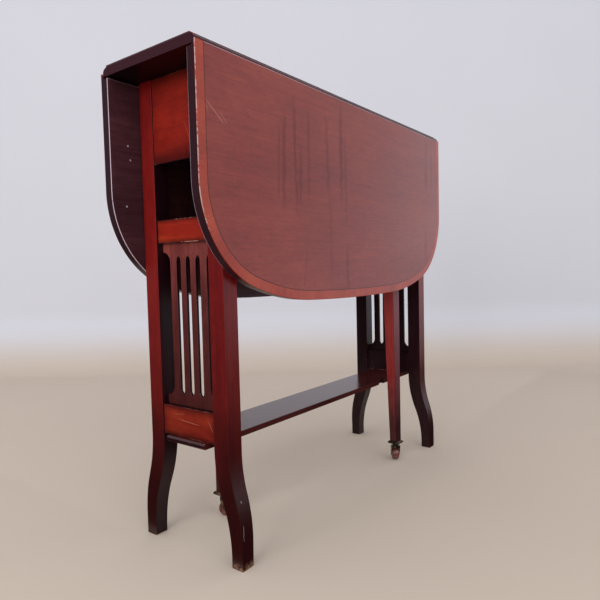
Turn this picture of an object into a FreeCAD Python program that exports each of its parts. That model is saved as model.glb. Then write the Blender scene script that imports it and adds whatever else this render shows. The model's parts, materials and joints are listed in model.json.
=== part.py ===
"""Mahogany drop leaf table on two splat ends, with rule-jointed leaves and two swing legs on casters.

Millimetres. X runs along the table, Y across it from the front leaf to the back one, Z up from the floor.
The origin is on the floor under the middle of the top. Both leaves hang down. The front gate has swung out
until its leg rests behind the front leaf, and the back gate lies closed along its rail.
"""
import FreeCAD, Part
import os

import Sketcher
from FreeCAD import Placement, Rotation, Vector

doc = FreeCAD.newDocument("DropLeafTable")

# ---------------------------------------------------------------- driving dimensions

sizes = {
    # top and leaves
    "table_height": 700, "top_length": 732, "board_thickness": 14.5,
    "pin_spacing": 174, "rule_lip": 2.5, "rule_gap": 0.3,
    "leaf_overhang": 2, "leaf_drop": 334.1,
    "bottom_radius": 3700, "bottom_turn": 2.1, "shoulder_radius": 460, "shoulder_turn": 18.8,
    "band_width": 14.2, "line_width": 1.2, "veneer_depth": 0.8,
    "stop_length": 20, "stop_width": 24, "stop_thickness": 9,
    # splat ends
    "top_overhang": 50, "leg_depth": 26, "leg_width": 27.7, "leaf_clearance": 1.8,
    "foot_spread": 20.3, "foot_width": 20, "foot_depth": 21.5,
    "knee_height": 160, "outer_ankle": 35, "inner_ankle": 15,
    "end_rail_depth": 20, "apron_height": 122, "apron_recess": 1,
    "mid_rail_top": 483, "mid_rail_height": 34, "mid_rail_recess": 2.5,
    "lower_rail_height": 44, "lower_rail_recess": 2,
    "tenon_length": 18, "tenon_thickness": 8, "tenon_shoulder": 6,
    "splat_recess": 11, "splat_thickness": 4.5, "splat_tongue": 5, "splat_waist": 77,
    "splat_head": 13, "splat_flare": 15, "slit_width": 9.1, "slit_pitch": 20.3,
    "slit_head_margin": 19, "slit_foot_margin": 16, "slit_count": 3,
    # stretcher
    "stretcher_top": 166.3, "stretcher_thickness": 8.7, "stretcher_width": 79,
    "stretcher_overhang": 6.5, "stretcher_bevel": 2.5, "notch_clearance": 1,
    # rails under the top, and the swing gates
    "side_rail_height": 100, "inner_rail_thickness": 18, "spacer_length": 40, "spacer_spacing": 236,
    "pivot_shift": -8, "pivot_offset": 37.5, "fly_thickness": 20, "fly_gap": 0.5,
    "finger_count": 5, "knuckle_gap": 0.6, "finger_gap": 0.25, "knuckle_pin_radius": 2.5,
    "gate_tenon_length": 13, "gate_reach": 197, "gate_leg_width": 21.5, "gate_leg_depth": 26,
    "gate_foot_width": 17, "gate_foot_depth": 16, "gate_taper_top": 380,
    # casters
    "caster_height": 41.5, "wheel_radius": 12.5, "wheel_width": 14.5, "wheel_rounding": 4, "caster_trail": 4.5,
    "plate_margin": 3.6, "plate_thickness": 6, "plate_bevel": 2,
    "boss_radius": 7.5, "boss_height": 2.5, "neck_radius": 6,
    "stem_radius": 4.5, "stem_length": 28, "spindle_radius": 2.5, "spindle_length": 20,
    "horn_cheek": 1.4, "horn_gap": 0.4, "horn_bridge": 3, "horn_eye_radius": 3.5, "axle_radius": 1.5,
    "bridge_gap": 3, "front_caster_turn": 37, "back_caster_turn": 307,
    # rule joint hinges
    "hinge_inset": 146, "hinge_width": 34, "barrel_radius": 4, "flap_thickness": 2,
    "top_flap_length": 28, "leaf_flap_length": 40, "hinge_pin_radius": 1.5,
    "barrel_gap": 0.3, "running_gap": 0.05,
    # screws
    "hinge_screw_radius": 1.6, "hinge_screw_length": 11, "hinge_head_radius": 3.3,
    "hinge_screw_offset": 10.2, "top_flap_row": 17.4, "leaf_flap_near_row": 18, "leaf_flap_far_row": 32,
    "frame_screw_radius": 2.2, "frame_screw_length": 32, "frame_head_radius": 4.4,
    "stretcher_screw_spacing": 42, "rail_screw_start": 74, "rail_screw_pitch": 88, "rail_screw_count": 3,
    "screw_head_sides": 12, "screw_shank_sides": 6,
}

dims = doc.addObject("Spreadsheet::Sheet", "dims")
for row, (alias, number) in enumerate(sizes.items(), 1):
    dims.set(f"A{row}", alias.replace("_", " "))
    dims.set(f"B{row}", str(number))
    dims.setAlias(f"B{row}", alias)
doc.recompute()

# ---------------------------------------------------------------- heights and places worked out from them

rule_radius = "(dims.board_thickness - dims.rule_lip - dims.barrel_radius)"
underside = "(dims.table_height - dims.board_thickness)"
pin_z = f"({underside} + dims.barrel_radius)"
pin_y = "(dims.pin_spacing / 2)"
leaf_inner = f"({pin_y} - dims.barrel_radius)"
leaf_outer = f"({leaf_inner} + dims.board_thickness)"
leaf_top = f"({pin_z} - dims.rule_gap)"
leaf_half = "(dims.top_length / 2 + dims.leaf_overhang)"

leg_outer = f"({leaf_inner} - dims.leaf_clearance)"
leg_inner = f"({leg_outer} - dims.leg_width)"
trestle_outer = "(dims.top_length / 2 - dims.top_overhang)"
trestle_inner = f"({trestle_outer} - dims.leg_depth)"
apron_inner = f"({trestle_outer} - dims.apron_recess - dims.end_rail_depth)"
stub = "(dims.end_rail_depth / 2)"
lower_rail_top = "(dims.stretcher_top + dims.lower_rail_height)"
mid_rail_bottom = "(dims.mid_rail_top - dims.mid_rail_height)"
stretcher_bottom = "(dims.stretcher_top - dims.stretcher_thickness)"

rail_bottom = f"({underside} - dims.side_rail_height)"
fly_half = "(dims.fly_thickness / 2)"
inner_rail_face = f"(dims.pivot_offset - {fly_half} - dims.fly_gap)"
inner_rail_back = f"({inner_rail_face} - dims.inner_rail_thickness)"
finger_pitch = "(dims.side_rail_height / dims.finger_count)"
gate_top = f"({underside} - dims.fly_gap)"
gate_leg_far = "(dims.gate_reach + dims.gate_foot_width / 2)"
gate_leg_near = f"({gate_leg_far} - dims.gate_leg_width)"
gate_leg_out = f"(dims.gate_leg_depth - {fly_half})"
gate_foot_near = f"({gate_leg_far} - dims.gate_foot_width)"
gate_foot_back = f"(dims.gate_foot_depth - {gate_leg_out})"
swivel_out = f"({gate_leg_out} - dims.gate_foot_depth / 2)"
# a gate opens this far, in degrees, before the far corner of its leg reaches a hanging leaf
gate_room = f"({leaf_inner} - dims.leaf_clearance - dims.pivot_offset)"
gate_swing = (f"((asin({gate_room} / sqrt({gate_leg_far}^2 + {gate_leg_out}^2))"
              f" - atan({gate_leg_out} / {gate_leg_far})) / 1 deg)")

ends = {"left": -1, "right": 1}
sides = {"front": -1, "back": 1}
finished = []


# ---------------------------------------------------------------- helpers

def value(expression):
    """The number that an expression of the sheet gives."""
    return float(dims.evalExpression(expression))


def finish(piece, label):
    """Mark an object as a piece of the table: its label names its file."""
    piece.Label = label
    finished.append(piece)
    return piece


def place(piece, x="0", y="0", z="0", turn=None):
    """Bind a piece's placement to the sheet. turn is in degrees about Z."""
    for axis, expression in zip("xyz", (x, y, z)):
        piece.setExpression(f"Placement.Base.{axis}", expression)
    if turn is not None:
        piece.Placement = Placement(piece.Placement.Base, Rotation(Vector(0, 0, 1), 1))
        piece.setExpression("Placement.Rotation.Angle", turn)
    return piece


def mirror_span(sign, low, high):
    """The span from low to high on the positive side of an axis, or its mirror image on the other."""
    return (low, high) if sign > 0 else (f"-{high}", f"-{low}")


def about(middle, size):
    """The span of a size centred on middle."""
    return f"({middle} - {size} / 2)", f"({middle} + {size} / 2)"


def block(name, x_span, y_span, z_span):
    """A box between the low and high expressions of each axis."""
    box = doc.addObject("Part::Box", name)
    for side, (low, high) in zip(("Length", "Width", "Height"), (x_span, y_span, z_span)):
        box.setExpression(side, f"({high}) - ({low})")
    return place(box, x_span[0], y_span[0], z_span[0])


def rod(name, radius, length, start, axis="z"):
    """A cylinder from the point start, along the axis given: x, y, z or -y."""
    cylinder = doc.addObject("Part::Cylinder", name)
    cylinder.setExpression("Radius", radius)
    cylinder.setExpression("Height", length)
    cylinder.Placement = Placement(Vector(), along[axis])
    return place(cylinder, *start)


along = {
    "x": Rotation(Vector(0, 1, 0), 90),
    "y": Rotation(Vector(1, 0, 0), -90),
    "-y": Rotation(Vector(1, 0, 0), 90),
    "z": Rotation(),
}


def fuse(name, shapes):
    joined = doc.addObject("Part::MultiFuse", name)
    joined.Shapes = shapes
    joined.Refine = True
    return joined


def cut(name, base, tools):
    """base less every tool."""
    trimmed = doc.addObject("Part::Cut", name)
    trimmed.Base = base
    trimmed.Tool = tools[0] if len(tools) == 1 else group(f"{name}_tools", tools)
    trimmed.Refine = True
    return trimmed


def common(name, first, second):
    shared = doc.addObject("Part::Common", name)
    shared.Base = first
    shared.Tool = second
    return shared


def group(name, members):
    """Separate solids kept together as one object."""
    compound = doc.addObject("Part::Compound", name)
    compound.Links = members
    return compound


def mirrored(name, source, normal):
    """The mirror image of a piece through the middle of the table."""
    image = doc.addObject("Part::Mirroring", name)
    image.Source = source
    image.Normal = normal
    return image


def sketch_on(body, role, name, offset=None):
    """A sketch on one of a body's own origin planes, or at an offset along its normal."""
    sketch = body.newObject("Sketcher::SketchObject", name)
    plane = next(feature for feature in body.Origin.OriginFeatures if feature.Role == role)
    sketch.AttachmentSupport = [(plane, "")]
    sketch.MapMode = "FlatFace"
    if offset is not None:
        sketch.setExpression("AttachmentOffset.Base.z", offset)
    return sketch


def draw(sketch, corners, centres=None):
    """Draw a closed outline and bind each corner to the sheet.

    corners are pairs of expressions. centres maps the number of an edge that is an arc to its centre.
    """
    centres = centres or {}
    points = [Vector(value(x), value(y), 0) for x, y in corners]
    ends_of_edge = []
    for edge, start in enumerate(points):
        end = points[(edge + 1) % len(points)]
        if edge in centres:
            middle = Vector(value(centres[edge][0]), value(centres[edge][1]), 0)
            forward = (start - middle).cross(end - middle).z > 0
            first, last = (start, end) if forward else (end, start)
            circle = Part.Circle(middle, Vector(0, 0, 1), (start - middle).Length)
            sketch.addGeometry(Part.ArcOfCircle(circle, circle.parameter(first), circle.parameter(last)))
            ends_of_edge.append((1, 2) if forward else (2, 1))
        else:
            sketch.addGeometry(Part.LineSegment(start, end))
            ends_of_edge.append((1, 2))
    for edge, (x, y) in enumerate(corners):
        following = (edge + 1) % len(corners)
        sketch.addConstraint(Sketcher.Constraint(
            "Coincident", edge, ends_of_edge[edge][1], following, ends_of_edge[following][0]))
        bind(sketch, f"x{edge}", x, "DistanceX", -1, 1, edge, ends_of_edge[edge][0])
        bind(sketch, f"y{edge}", y, "DistanceY", -1, 1, edge, ends_of_edge[edge][0])
        if edge in centres:
            across, up = centres[edge]
            radius = f"sqrt((({x}) - ({across}))^2 + (({y}) - ({up}))^2)"
            bind(sketch, f"r{edge}", radius, "Radius", edge)


def bind(sketch, name, expression, kind, *where):
    """Add a dimension to a sketch and drive it by an expression."""
    index = sketch.addConstraint(Sketcher.Constraint(kind, *where, value(expression)))
    sketch.renameConstraint(index, name)
    sketch.setExpression(f"Constraints.{name}", expression)


def extrusion(name, role, corners, length, centres=None, offset=None, both_ways=False):
    """A PartDesign body that pads one closed outline."""
    body = doc.addObject("PartDesign::Body", name)
    sketch = sketch_on(body, role, f"{name}_outline", offset)
    draw(sketch, corners, centres)
    pad = body.newObject("PartDesign::Pad", f"{name}_pad")
    pad.Profile = sketch
    pad.setExpression("Length", length)
    if both_ways:
        pad.SideType = "Symmetric"
    body.Tip = pad
    return body


def turned_piece(name, corners, centres=None):
    """A PartDesign body turned about its own Z axis from a half outline in the XZ plane."""
    body = doc.addObject("PartDesign::Body", name)
    sketch = sketch_on(body, "XZ_Plane", f"{name}_outline")
    draw(sketch, corners, centres)
    turning = body.newObject("PartDesign::Revolution", f"{name}_turning")
    turning.Profile = sketch
    turning.ReferenceAxis = (sketch, ["V_Axis"])
    turning.Angle = 360
    body.Tip = turning
    return body


def screw(name, radius, head_radius, length, start, axis):
    """A countersunk screw from the point start along axis. Its sides are flat and it has no thread."""
    depth = f"({head_radius} - {radius})"
    towards = along[axis].multVec(Vector(0, 0, 1))
    rings = []
    for ring_name, ring_radius, down in (("rim", head_radius, "0"), ("neck", radius, depth)):
        ring = doc.addObject("Part::RegularPolygon", f"{name}_{ring_name}")
        ring.setExpression("Polygon", "dims.screw_head_sides")
        ring.setExpression("Circumradius", ring_radius)
        ring.Placement = Placement(Vector(), along[axis])
        rings.append(place(ring, *(f"({at} + {round(step)} * {down})" for at, step in zip(start, towards))))
    head = doc.addObject("Part::Loft", f"{name}_head")
    head.Sections = rings
    head.Solid = True
    head.Ruled = True
    shank = doc.addObject("Part::Prism", f"{name}_shank")
    shank.setExpression("Polygon", "dims.screw_shank_sides")
    shank.setExpression("Circumradius", radius)
    shank.setExpression("Height", length)
    shank.Placement = Placement(Vector(), along[axis])
    return fuse(name, [head, place(shank, *start)])


# ---------------------------------------------------------------- rule joint hinges

def hinge_place(end):
    """X of the middle of a hinge."""
    return f"({ends[end]} * (dims.top_length / 2 - dims.hinge_inset))"


def hinge_span(end, low="-0.5", high="0.5", grow="0"):
    """A span of X across a hinge, in shares of its width, grown at both ends."""
    middle = hinge_place(end)
    return (f"({middle} + {low} * dims.hinge_width - {grow})",
            f"({middle} + {high} * dims.hinge_width + {grow})")


def barrel(name, x_span, radius, y):
    return rod(name, radius, f"{x_span[1]} - {x_span[0]}", (x_span[0], y, pin_z), "x")


def hinge_screws(side, end):
    """Two screws up through the top flap, and three into the leaf through the long one."""
    sign, where = sides[side], f"{side}_{end}"
    size = ("dims.hinge_screw_radius", "dims.hinge_head_radius", "dims.hinge_screw_length")
    inward = "y" if sign > 0 else "-y"
    top, leaf = [], []
    for number, step in enumerate((-1, 1)):
        x = f"({hinge_place(end)} + {step} * dims.hinge_screw_offset)"
        y = f"({sign} * ({pin_y} - dims.top_flap_row))"
        top.append(screw(f"{where}_top_screw_{number}", *size, (x, y, underside), "z"))
    for number, (step, row) in enumerate(((-1, "near"), (0, "far"), (1, "near"))):
        x = f"({hinge_place(end)} + {step} * dims.hinge_screw_offset)"
        z = f"({pin_z} - dims.leaf_flap_{row}_row)"
        leaf.append(screw(f"{where}_leaf_screw_{number}", *size, (x, f"{sign} * {leaf_inner}", z), inward))
    return top, leaf


def hinge(side, end, top_screws, leaf_screws):
    """The short flap under the top with two knuckles, the long flap on the leaf with one, and their pin."""
    sign, where = sides[side], f"{side}_{end}_hinge"
    y = f"({sign} * {pin_y})"
    whole = hinge_span(end)
    thirds = [hinge_span(end, low, high, "-dims.running_gap") for low, high in
              (("-0.5", "-1 / 6"), ("-1 / 6", "1 / 6"), ("1 / 6", "0.5"))]
    middle = hinge_span(end, "-1 / 6", "1 / 6", "dims.running_gap")
    outer_gaps = [hinge_span(end, "-0.5", "-1 / 6", "dims.running_gap"),
                  hinge_span(end, "1 / 6", "0.5", "dims.running_gap")]
    flap_face = f"({underside} + dims.flap_thickness)"

    round_barrel = (mirror_span(sign, f"({leaf_inner} - dims.barrel_gap)", f"({pin_y} + dims.barrel_radius)"),
                    (f"({underside} - dims.barrel_gap)", f"({pin_z} + dims.barrel_radius)"))

    plate = block(f"{where}_top_plate", whole,
                  mirror_span(sign, f"({pin_y} - dims.top_flap_length)", pin_y), (underside, flap_face))
    notch = block(f"{where}_top_notch", middle, *round_barrel)
    plate = cut(f"{where}_top_plate_notched", plate, [notch])
    knuckles = [barrel(f"{where}_top_knuckle_{n}", thirds[n], "dims.barrel_radius", y) for n in (0, 2)]
    bore = barrel(f"{where}_tight_bore", whole, "dims.hinge_pin_radius", y)
    solid = fuse(f"{where}_top_solid", [plate, *knuckles])
    finish(cut(f"{where}_top_flap", solid, [bore, *top_screws]), f"{where}_top_flap")

    plate = block(f"{where}_leaf_plate", whole,
                  mirror_span(sign, leaf_inner, f"({leaf_inner} + dims.flap_thickness)"),
                  (f"({pin_z} - dims.leaf_flap_length)", pin_z))
    notches = [block(f"{where}_leaf_notch_{n}", span, *round_barrel) for n, span in enumerate(outer_gaps)]
    plate = cut(f"{where}_leaf_plate_notched", plate, notches)
    knuckle = barrel(f"{where}_leaf_knuckle", thirds[1], "dims.barrel_radius", y)
    bore = barrel(f"{where}_running_bore", whole, "dims.hinge_pin_radius + dims.running_gap", y)
    solid = fuse(f"{where}_leaf_solid", [plate, knuckle])
    finish(cut(f"{where}_leaf_flap", solid, [bore, *leaf_screws]), f"{where}_leaf_flap")

    finish(barrel(f"{where}_pin", whole, "dims.hinge_pin_radius", y), f"{where}_pin")


def hinge_seats_in_top(side, end):
    """The recess for the short flap, the groove round the barrel and the slot for the long flap's swing."""
    sign, where = sides[side], f"{side}_{end}_top_seat"
    below = f"({underside} - dims.barrel_gap)"
    wide = hinge_span(end, grow="dims.barrel_gap")
    flap = block(f"{where}_flap", hinge_span(end),
                 mirror_span(sign, f"({pin_y} - dims.top_flap_length)", pin_y),
                 (below, f"({underside} + dims.flap_thickness)"))
    y_span = mirror_span(sign, f"({leaf_inner} - dims.barrel_gap)",
                         f"({pin_y} + dims.barrel_radius + dims.barrel_gap)")
    groove = block(f"{where}_groove", wide, y_span, (below, pin_z))
    crown = barrel(f"{where}_crown", wide, "dims.barrel_radius + dims.barrel_gap", f"({sign} * {pin_y})")
    slot = block(f"{where}_slot", wide, mirror_span(sign, pin_y, leaf_outer),
                 (below, f"({underside} + dims.flap_thickness + dims.barrel_gap)"))
    return [flap, groove, crown, slot]


def hinge_seat_in_leaf(side, end):
    sign, where = sides[side], f"{side}_{end}_leaf_seat"
    y_span = mirror_span(sign, f"({leaf_inner} - dims.barrel_gap)", f"({leaf_inner} + dims.flap_thickness)")
    return block(where, hinge_span(end), y_span, (f"({pin_z} - dims.leaf_flap_length)", pin_z))


# ---------------------------------------------------------------- top

def inlay_strips(name, start, width):
    """Two strips let in across the ends of the top, from start mm inside each end."""
    strips = []
    for end, sign in ends.items():
        outer = f"(dims.top_length / 2 - {start})"
        span = mirror_span(sign, f"({outer} - {width})", outer)
        strips.append(block(f"{name}_{end}", span, (f"-{pin_y}", pin_y),
                            ("(dims.table_height - dims.veneer_depth)", "dims.table_height")))
    return group(name, strips)


def make_top(screws):
    """The fixed top: an ovolo on each long edge, rounded about the hinge pins down to the underside."""
    across = f"sqrt({rule_radius}^2 - dims.barrel_radius^2)"
    lip = "(dims.table_height - dims.rule_lip)"
    right = [(pin_y, "dims.table_height"), (pin_y, lip), (f"{pin_y} + {across}", underside)]
    left = [(f"-({y})", z) for y, z in reversed(right)]
    centres = {1: (pin_y, pin_z), 3: (f"-{pin_y}", pin_z)}
    plank = extrusion("top_plank", "YZ_Plane", right + left, "dims.top_length", centres, both_ways=True)
    band = finish(inlay_strips("top_crossbanding", "0", "dims.band_width"), "top_crossbanding")
    line = finish(inlay_strips("top_stringing", "dims.band_width", "dims.line_width"), "top_stringing")
    seats = [seat for side in sides for end in ends for seat in hinge_seats_in_top(side, end)]
    finish(cut("top_board", plank, [band, line, *seats, *screws]), "top_board")
    finish(group("top_hinge_screws", screws), "top_hinge_screws")


# ---------------------------------------------------------------- leaves

def leaf_edge(inset):
    """Half of a leaf's outline, from the hinge edge round to the middle of the bottom.

    A straight side runs into three tangent arcs: corner, shoulder and the long flat bottom.
    """
    low = f"({pin_z} - dims.leaf_drop)"
    bottom_centre = ("0", f"({low} + dims.bottom_radius)")
    step = "(dims.bottom_radius - dims.shoulder_radius)"
    shoulder_centre = (f"({step} * sin(dims.bottom_turn))",
                       f"({bottom_centre[1]} - {step} * cos(dims.bottom_turn))")
    corner_radius = (f"(({leaf_half} - {shoulder_centre[0]} - dims.shoulder_radius * sin(dims.shoulder_turn))"
                     " / (1 - sin(dims.shoulder_turn)))")
    step = f"(dims.shoulder_radius - {corner_radius})"
    corner_centre = (f"({leaf_half} - {corner_radius})",
                     f"({shoulder_centre[1]} - {step} * cos(dims.shoulder_turn))")

    def on_arc(centre, radius, turn):
        return (f"({centre[0]} + ({radius} - {inset}) * sin({turn}))",
                f"({centre[1]} - ({radius} - {inset}) * cos({turn}))")

    side = f"({leaf_half} - {inset})"
    points = [
        (side, leaf_top),
        (side, corner_centre[1]),
        on_arc(shoulder_centre, "dims.shoulder_radius", "dims.shoulder_turn"),
        on_arc(bottom_centre, "dims.bottom_radius", "dims.bottom_turn"),
    ]
    return points, [corner_centre, shoulder_centre, bottom_centre]


def leaf_loop(inset):
    """The whole outline, right side first, with the centre of each arc by the number of its edge."""
    points, (corner, shoulder, bottom) = leaf_edge(inset)
    other = [(f"-{x}", z) for x, z in reversed(points)]
    flip = [(f"-{x}", z) for x, z in (shoulder, corner)]
    return points + other, {1: corner, 2: shoulder, 3: bottom, 4: flip[0], 5: flip[1]}


def leaf_ribbon(name, outer_inset, inner_inset):
    """A veneer ribbon of even width that follows the leaf's edge from hinge side to hinge side."""
    outer, outer_centres = leaf_loop(outer_inset)
    inner, inner_centres = leaf_loop(inner_inset)
    count = len(outer)
    centres = dict(outer_centres)
    for edge, centre in inner_centres.items():
        centres[2 * count - 2 - edge] = centre
    return extrusion(name, "XZ_Plane", outer + inner[::-1], "dims.veneer_depth", centres,
                     offset=f"{leaf_outer} - dims.veneer_depth")


def make_leaves(leaf_screws):
    """Both leaves with their veneers and stops: the front one is drawn and the back one mirrors it."""
    corners, centres = leaf_loop("0")
    plank = extrusion("leaf_plank", "XZ_Plane", corners, "dims.board_thickness", centres, offset=leaf_inner)
    line_inset = "(dims.band_width + dims.line_width)"
    band = finish(leaf_ribbon("front_leaf_crossbanding", "0", "dims.band_width"), "front_leaf_crossbanding")
    line = finish(leaf_ribbon("front_leaf_stringing", "dims.band_width", line_inset), "front_leaf_stringing")
    cove = rod("leaf_cove", f"{rule_radius} + dims.rule_gap", f"2 * {leaf_half}",
               (f"-{leaf_half}", f"-{pin_y}", pin_z), "x")
    faced = cut("leaf_faced", plank, [band, line, cove])
    across = Vector(0, 1, 0)
    finish(mirrored("back_leaf_crossbanding", band, across), "back_leaf_crossbanding")
    finish(mirrored("back_leaf_stringing", line, across), "back_leaf_stringing")
    boards = {"front": faced, "back": mirrored("leaf_faced_back", faced, across)}
    for side, sign in sides.items():
        seats = [hinge_seat_in_leaf(side, end) for end in ends]
        finish(cut(f"{side}_leaf", boards[side], seats + leaf_screws[side]), f"{side}_leaf")
        finish(group(f"{side}_leaf_hinge_screws", leaf_screws[side]), f"{side}_leaf_hinge_screws")
        make_leaf_stop(side)


def make_leaf_stop(side):
    """The block under a leaf that the open gate's leg comes to rest against."""
    sign = sides[side]
    face = f"({sign} * ({gate_leg_out} + dims.fly_gap) + dims.pivot_shift)"
    far = f"({face} + {sign} * dims.stop_width)"
    x_span = (face, far) if sign > 0 else (far, face)
    middle = f"({pin_z} - (dims.pivot_offset + dims.gate_reach - {pin_y}))"
    y_span = mirror_span(sign, f"({leaf_inner} - dims.stop_thickness)", leaf_inner)
    stop = block(f"{side}_leaf_stop", x_span, y_span, about(middle, "dims.stop_length"))
    finish(stop, f"{side}_leaf_stop")


# ---------------------------------------------------------------- splat ends

def end_rail_places():
    """Each cross rail of an end: how far its face lies behind the legs, and its span of Z."""
    return {
        "end_apron": ("dims.apron_recess", (f"({underside} - dims.apron_height)", underside)),
        "mid_rail": ("dims.mid_rail_recess", (mid_rail_bottom, "dims.mid_rail_top")),
        "lower_rail": ("dims.lower_rail_recess", ("dims.stretcher_top", lower_rail_top)),
    }


def tenon_spans(recess, z_span, sign):
    """X and Z spans of the tenon on the end of a cross rail."""
    middle = f"({trestle_outer} - {recess} - dims.end_rail_depth / 2)"
    x_span = mirror_span(sign, *about(middle, "dims.tenon_thickness"))
    return x_span, (f"({z_span[0]} + dims.tenon_shoulder)", f"({z_span[1]} - dims.tenon_shoulder)")


def make_legs():
    """Four end legs: straight to the knee, then an outswept foot drawn with two equal arcs on each edge."""
    foot_outer = f"({leg_outer} + dims.foot_spread)"
    foot_inner = f"({foot_outer} - dims.foot_width)"

    def swept(top_y, foot_y, ankle):
        """Inflection point, upper centre and lower centre of an edge that sweeps out to the foot."""
        out, drop = f"({foot_y} - {top_y})", f"(dims.knee_height - {ankle})"
        radius = f"(({out}^2 + {drop}^2) / (4 * {out}))"
        middle = (f"({top_y} + {out} / 2)", f"({ankle} + {drop} / 2)")
        return middle, (f"({top_y} + {radius})", "dims.knee_height"), (f"({foot_y} - {radius})", ankle)

    outer_mid, outer_high, outer_low = swept(leg_outer, foot_outer, "dims.outer_ankle")
    inner_mid, inner_high, inner_low = swept(leg_inner, foot_inner, "dims.inner_ankle")
    corners = [
        (leg_inner, underside), (leg_outer, underside), (leg_outer, "dims.knee_height"), outer_mid,
        (foot_outer, "dims.outer_ankle"), (foot_outer, "0"), (foot_inner, "0"),
        (foot_inner, "dims.inner_ankle"), inner_mid, (leg_inner, "dims.knee_height"),
    ]
    centres = {2: outer_high, 3: outer_low, 7: inner_low, 8: inner_high}
    front_view = extrusion("leg_front_view", "YZ_Plane", corners, "dims.leg_depth", centres,
                           offset=trestle_inner)
    side_corners = [
        (trestle_outer, "0"), (trestle_outer, underside), (trestle_inner, underside),
        (trestle_inner, "dims.knee_height"), (f"({trestle_outer} - dims.foot_depth)", "0"),
    ]
    side_view = extrusion("leg_side_view", "XZ_Plane", side_corners, f"2 * {foot_outer}", both_ways=True)
    leg = common("leg_shaped", front_view, side_view)
    mortises = []
    for rail, (recess, z_span) in end_rail_places().items():
        x_span, tenon_z = tenon_spans(recess, z_span, 1)
        y_span = (leg_inner, f"({leg_inner} + dims.tenon_length)")
        mortises.append(block(f"leg_mortise_{rail}", x_span, y_span, tenon_z))
    right_back = finish(cut("right_back_leg", leg, mortises), "right_back_leg")
    right_front = finish(mirrored("right_front_leg", right_back, Vector(0, 1, 0)), "right_front_leg")
    finish(mirrored("left_back_leg", right_back, Vector(1, 0, 0)), "left_back_leg")
    finish(mirrored("left_front_leg", right_front, Vector(1, 0, 0)), "left_front_leg")


def cross_rail(end, rail):
    """A rail between the two legs of an end, with a tenon at each end of it."""
    sign = ends[end]
    recess, z_span = end_rail_places()[rail]
    face = f"({trestle_outer} - {recess})"
    x_span = mirror_span(sign, f"({face} - dims.end_rail_depth)", face)
    tenon_x, tenon_z = tenon_spans(recess, z_span, sign)
    reach = f"({leg_inner} + dims.tenon_length)"
    body = block(f"{end}_{rail}_body", x_span, (f"-{leg_inner}", leg_inner), z_span)
    tenons = block(f"{end}_{rail}_tenons", tenon_x, (f"-{reach}", reach), tenon_z)
    return fuse(f"{end}_{rail}_tenoned", [body, tenons])


def splat_spans(sign):
    face = f"({trestle_outer} - dims.splat_recess)"
    return mirror_span(sign, f"({face} - dims.splat_thickness)", face)


def make_splat(end):
    """The pierced splat: a head and a foot that flare to the legs, and pointed slits between its bars."""
    low, high = f"({lower_rail_top} - dims.splat_tongue)", f"({mid_rail_bottom} + dims.splat_tongue)"
    waist = "(dims.splat_waist / 2)"
    flare = f"({leg_inner} - {waist})"
    # each flare is one arc that leaves in line with the side of the splat and runs out to the leg
    radius = f"((dims.splat_flare^2 + {flare}^2) / (2 * {flare}))"
    head, foot = f"({mid_rail_bottom} - dims.splat_head)", f"({lower_rail_top} + dims.splat_head)"
    right = [
        (leg_inner, low), (leg_inner, foot), (waist, f"({foot} + dims.splat_flare)"),
        (waist, f"({head} - dims.splat_flare)"), (leg_inner, head), (leg_inner, high),
    ]
    left = [(f"-{y}", z) for y, z in reversed(right)]
    centre_y = f"({waist} + {radius})"
    centres = {1: (centre_y, f"({foot} + dims.splat_flare)"), 3: (centre_y, f"({head} - dims.splat_flare)"),
               7: (f"-{centre_y}", f"({head} - dims.splat_flare)"),
               9: (f"-{centre_y}", f"({foot} + dims.splat_flare)")}
    near_face = splat_spans(ends[end])[0]
    body = extrusion(f"{end}_splat", "YZ_Plane", right + left, "dims.splat_thickness", centres,
                     offset=near_face)
    unpierced = body.Tip

    half = "(dims.slit_width / 2)"
    rise = "(dims.slit_width * sqrt(3) / 2)"
    tip, toe = f"({mid_rail_bottom} - dims.slit_head_margin)", f"({lower_rail_top} + dims.slit_foot_margin)"
    middle = "(-(dims.slit_count - 1) / 2 * dims.slit_pitch)"
    side_low, side_high = f"({toe} + {rise})", f"({tip} - {rise})"
    near, far = f"({middle} - {half})", f"({middle} + {half})"
    corners = [(middle, toe), (far, side_low), (far, side_high),
               (middle, tip), (near, side_high), (near, side_low)]
    arcs = {0: (near, side_low), 2: (near, side_high), 3: (far, side_high), 5: (far, side_low)}
    sketch = sketch_on(body, "YZ_Plane", f"{end}_splat_slit", near_face)
    draw(sketch, corners, arcs)
    slit = body.newObject("PartDesign::Pocket", f"{end}_splat_first_slit")
    slit.Profile = sketch
    slit.Reversed = True
    slit.setExpression("Length", "dims.splat_thickness")
    slits = body.newObject("PartDesign::LinearPattern", f"{end}_splat_slits")
    slits.Originals = [slit]
    slits.Direction = (sketch, ["H_Axis"])
    slits.Mode = "Spacing"
    slits.setExpression("Offset", "dims.slit_pitch")
    slits.setExpression("Occurrences", "dims.slit_count")
    body.Tip = slits
    doc.recompute()
    if slits.Shape.Volume >= unpierced.Shape.Volume:
        raise RuntimeError(f"the slits of {body.Name} cut nothing")
    return finish(body, f"{end}_splat")


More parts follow.
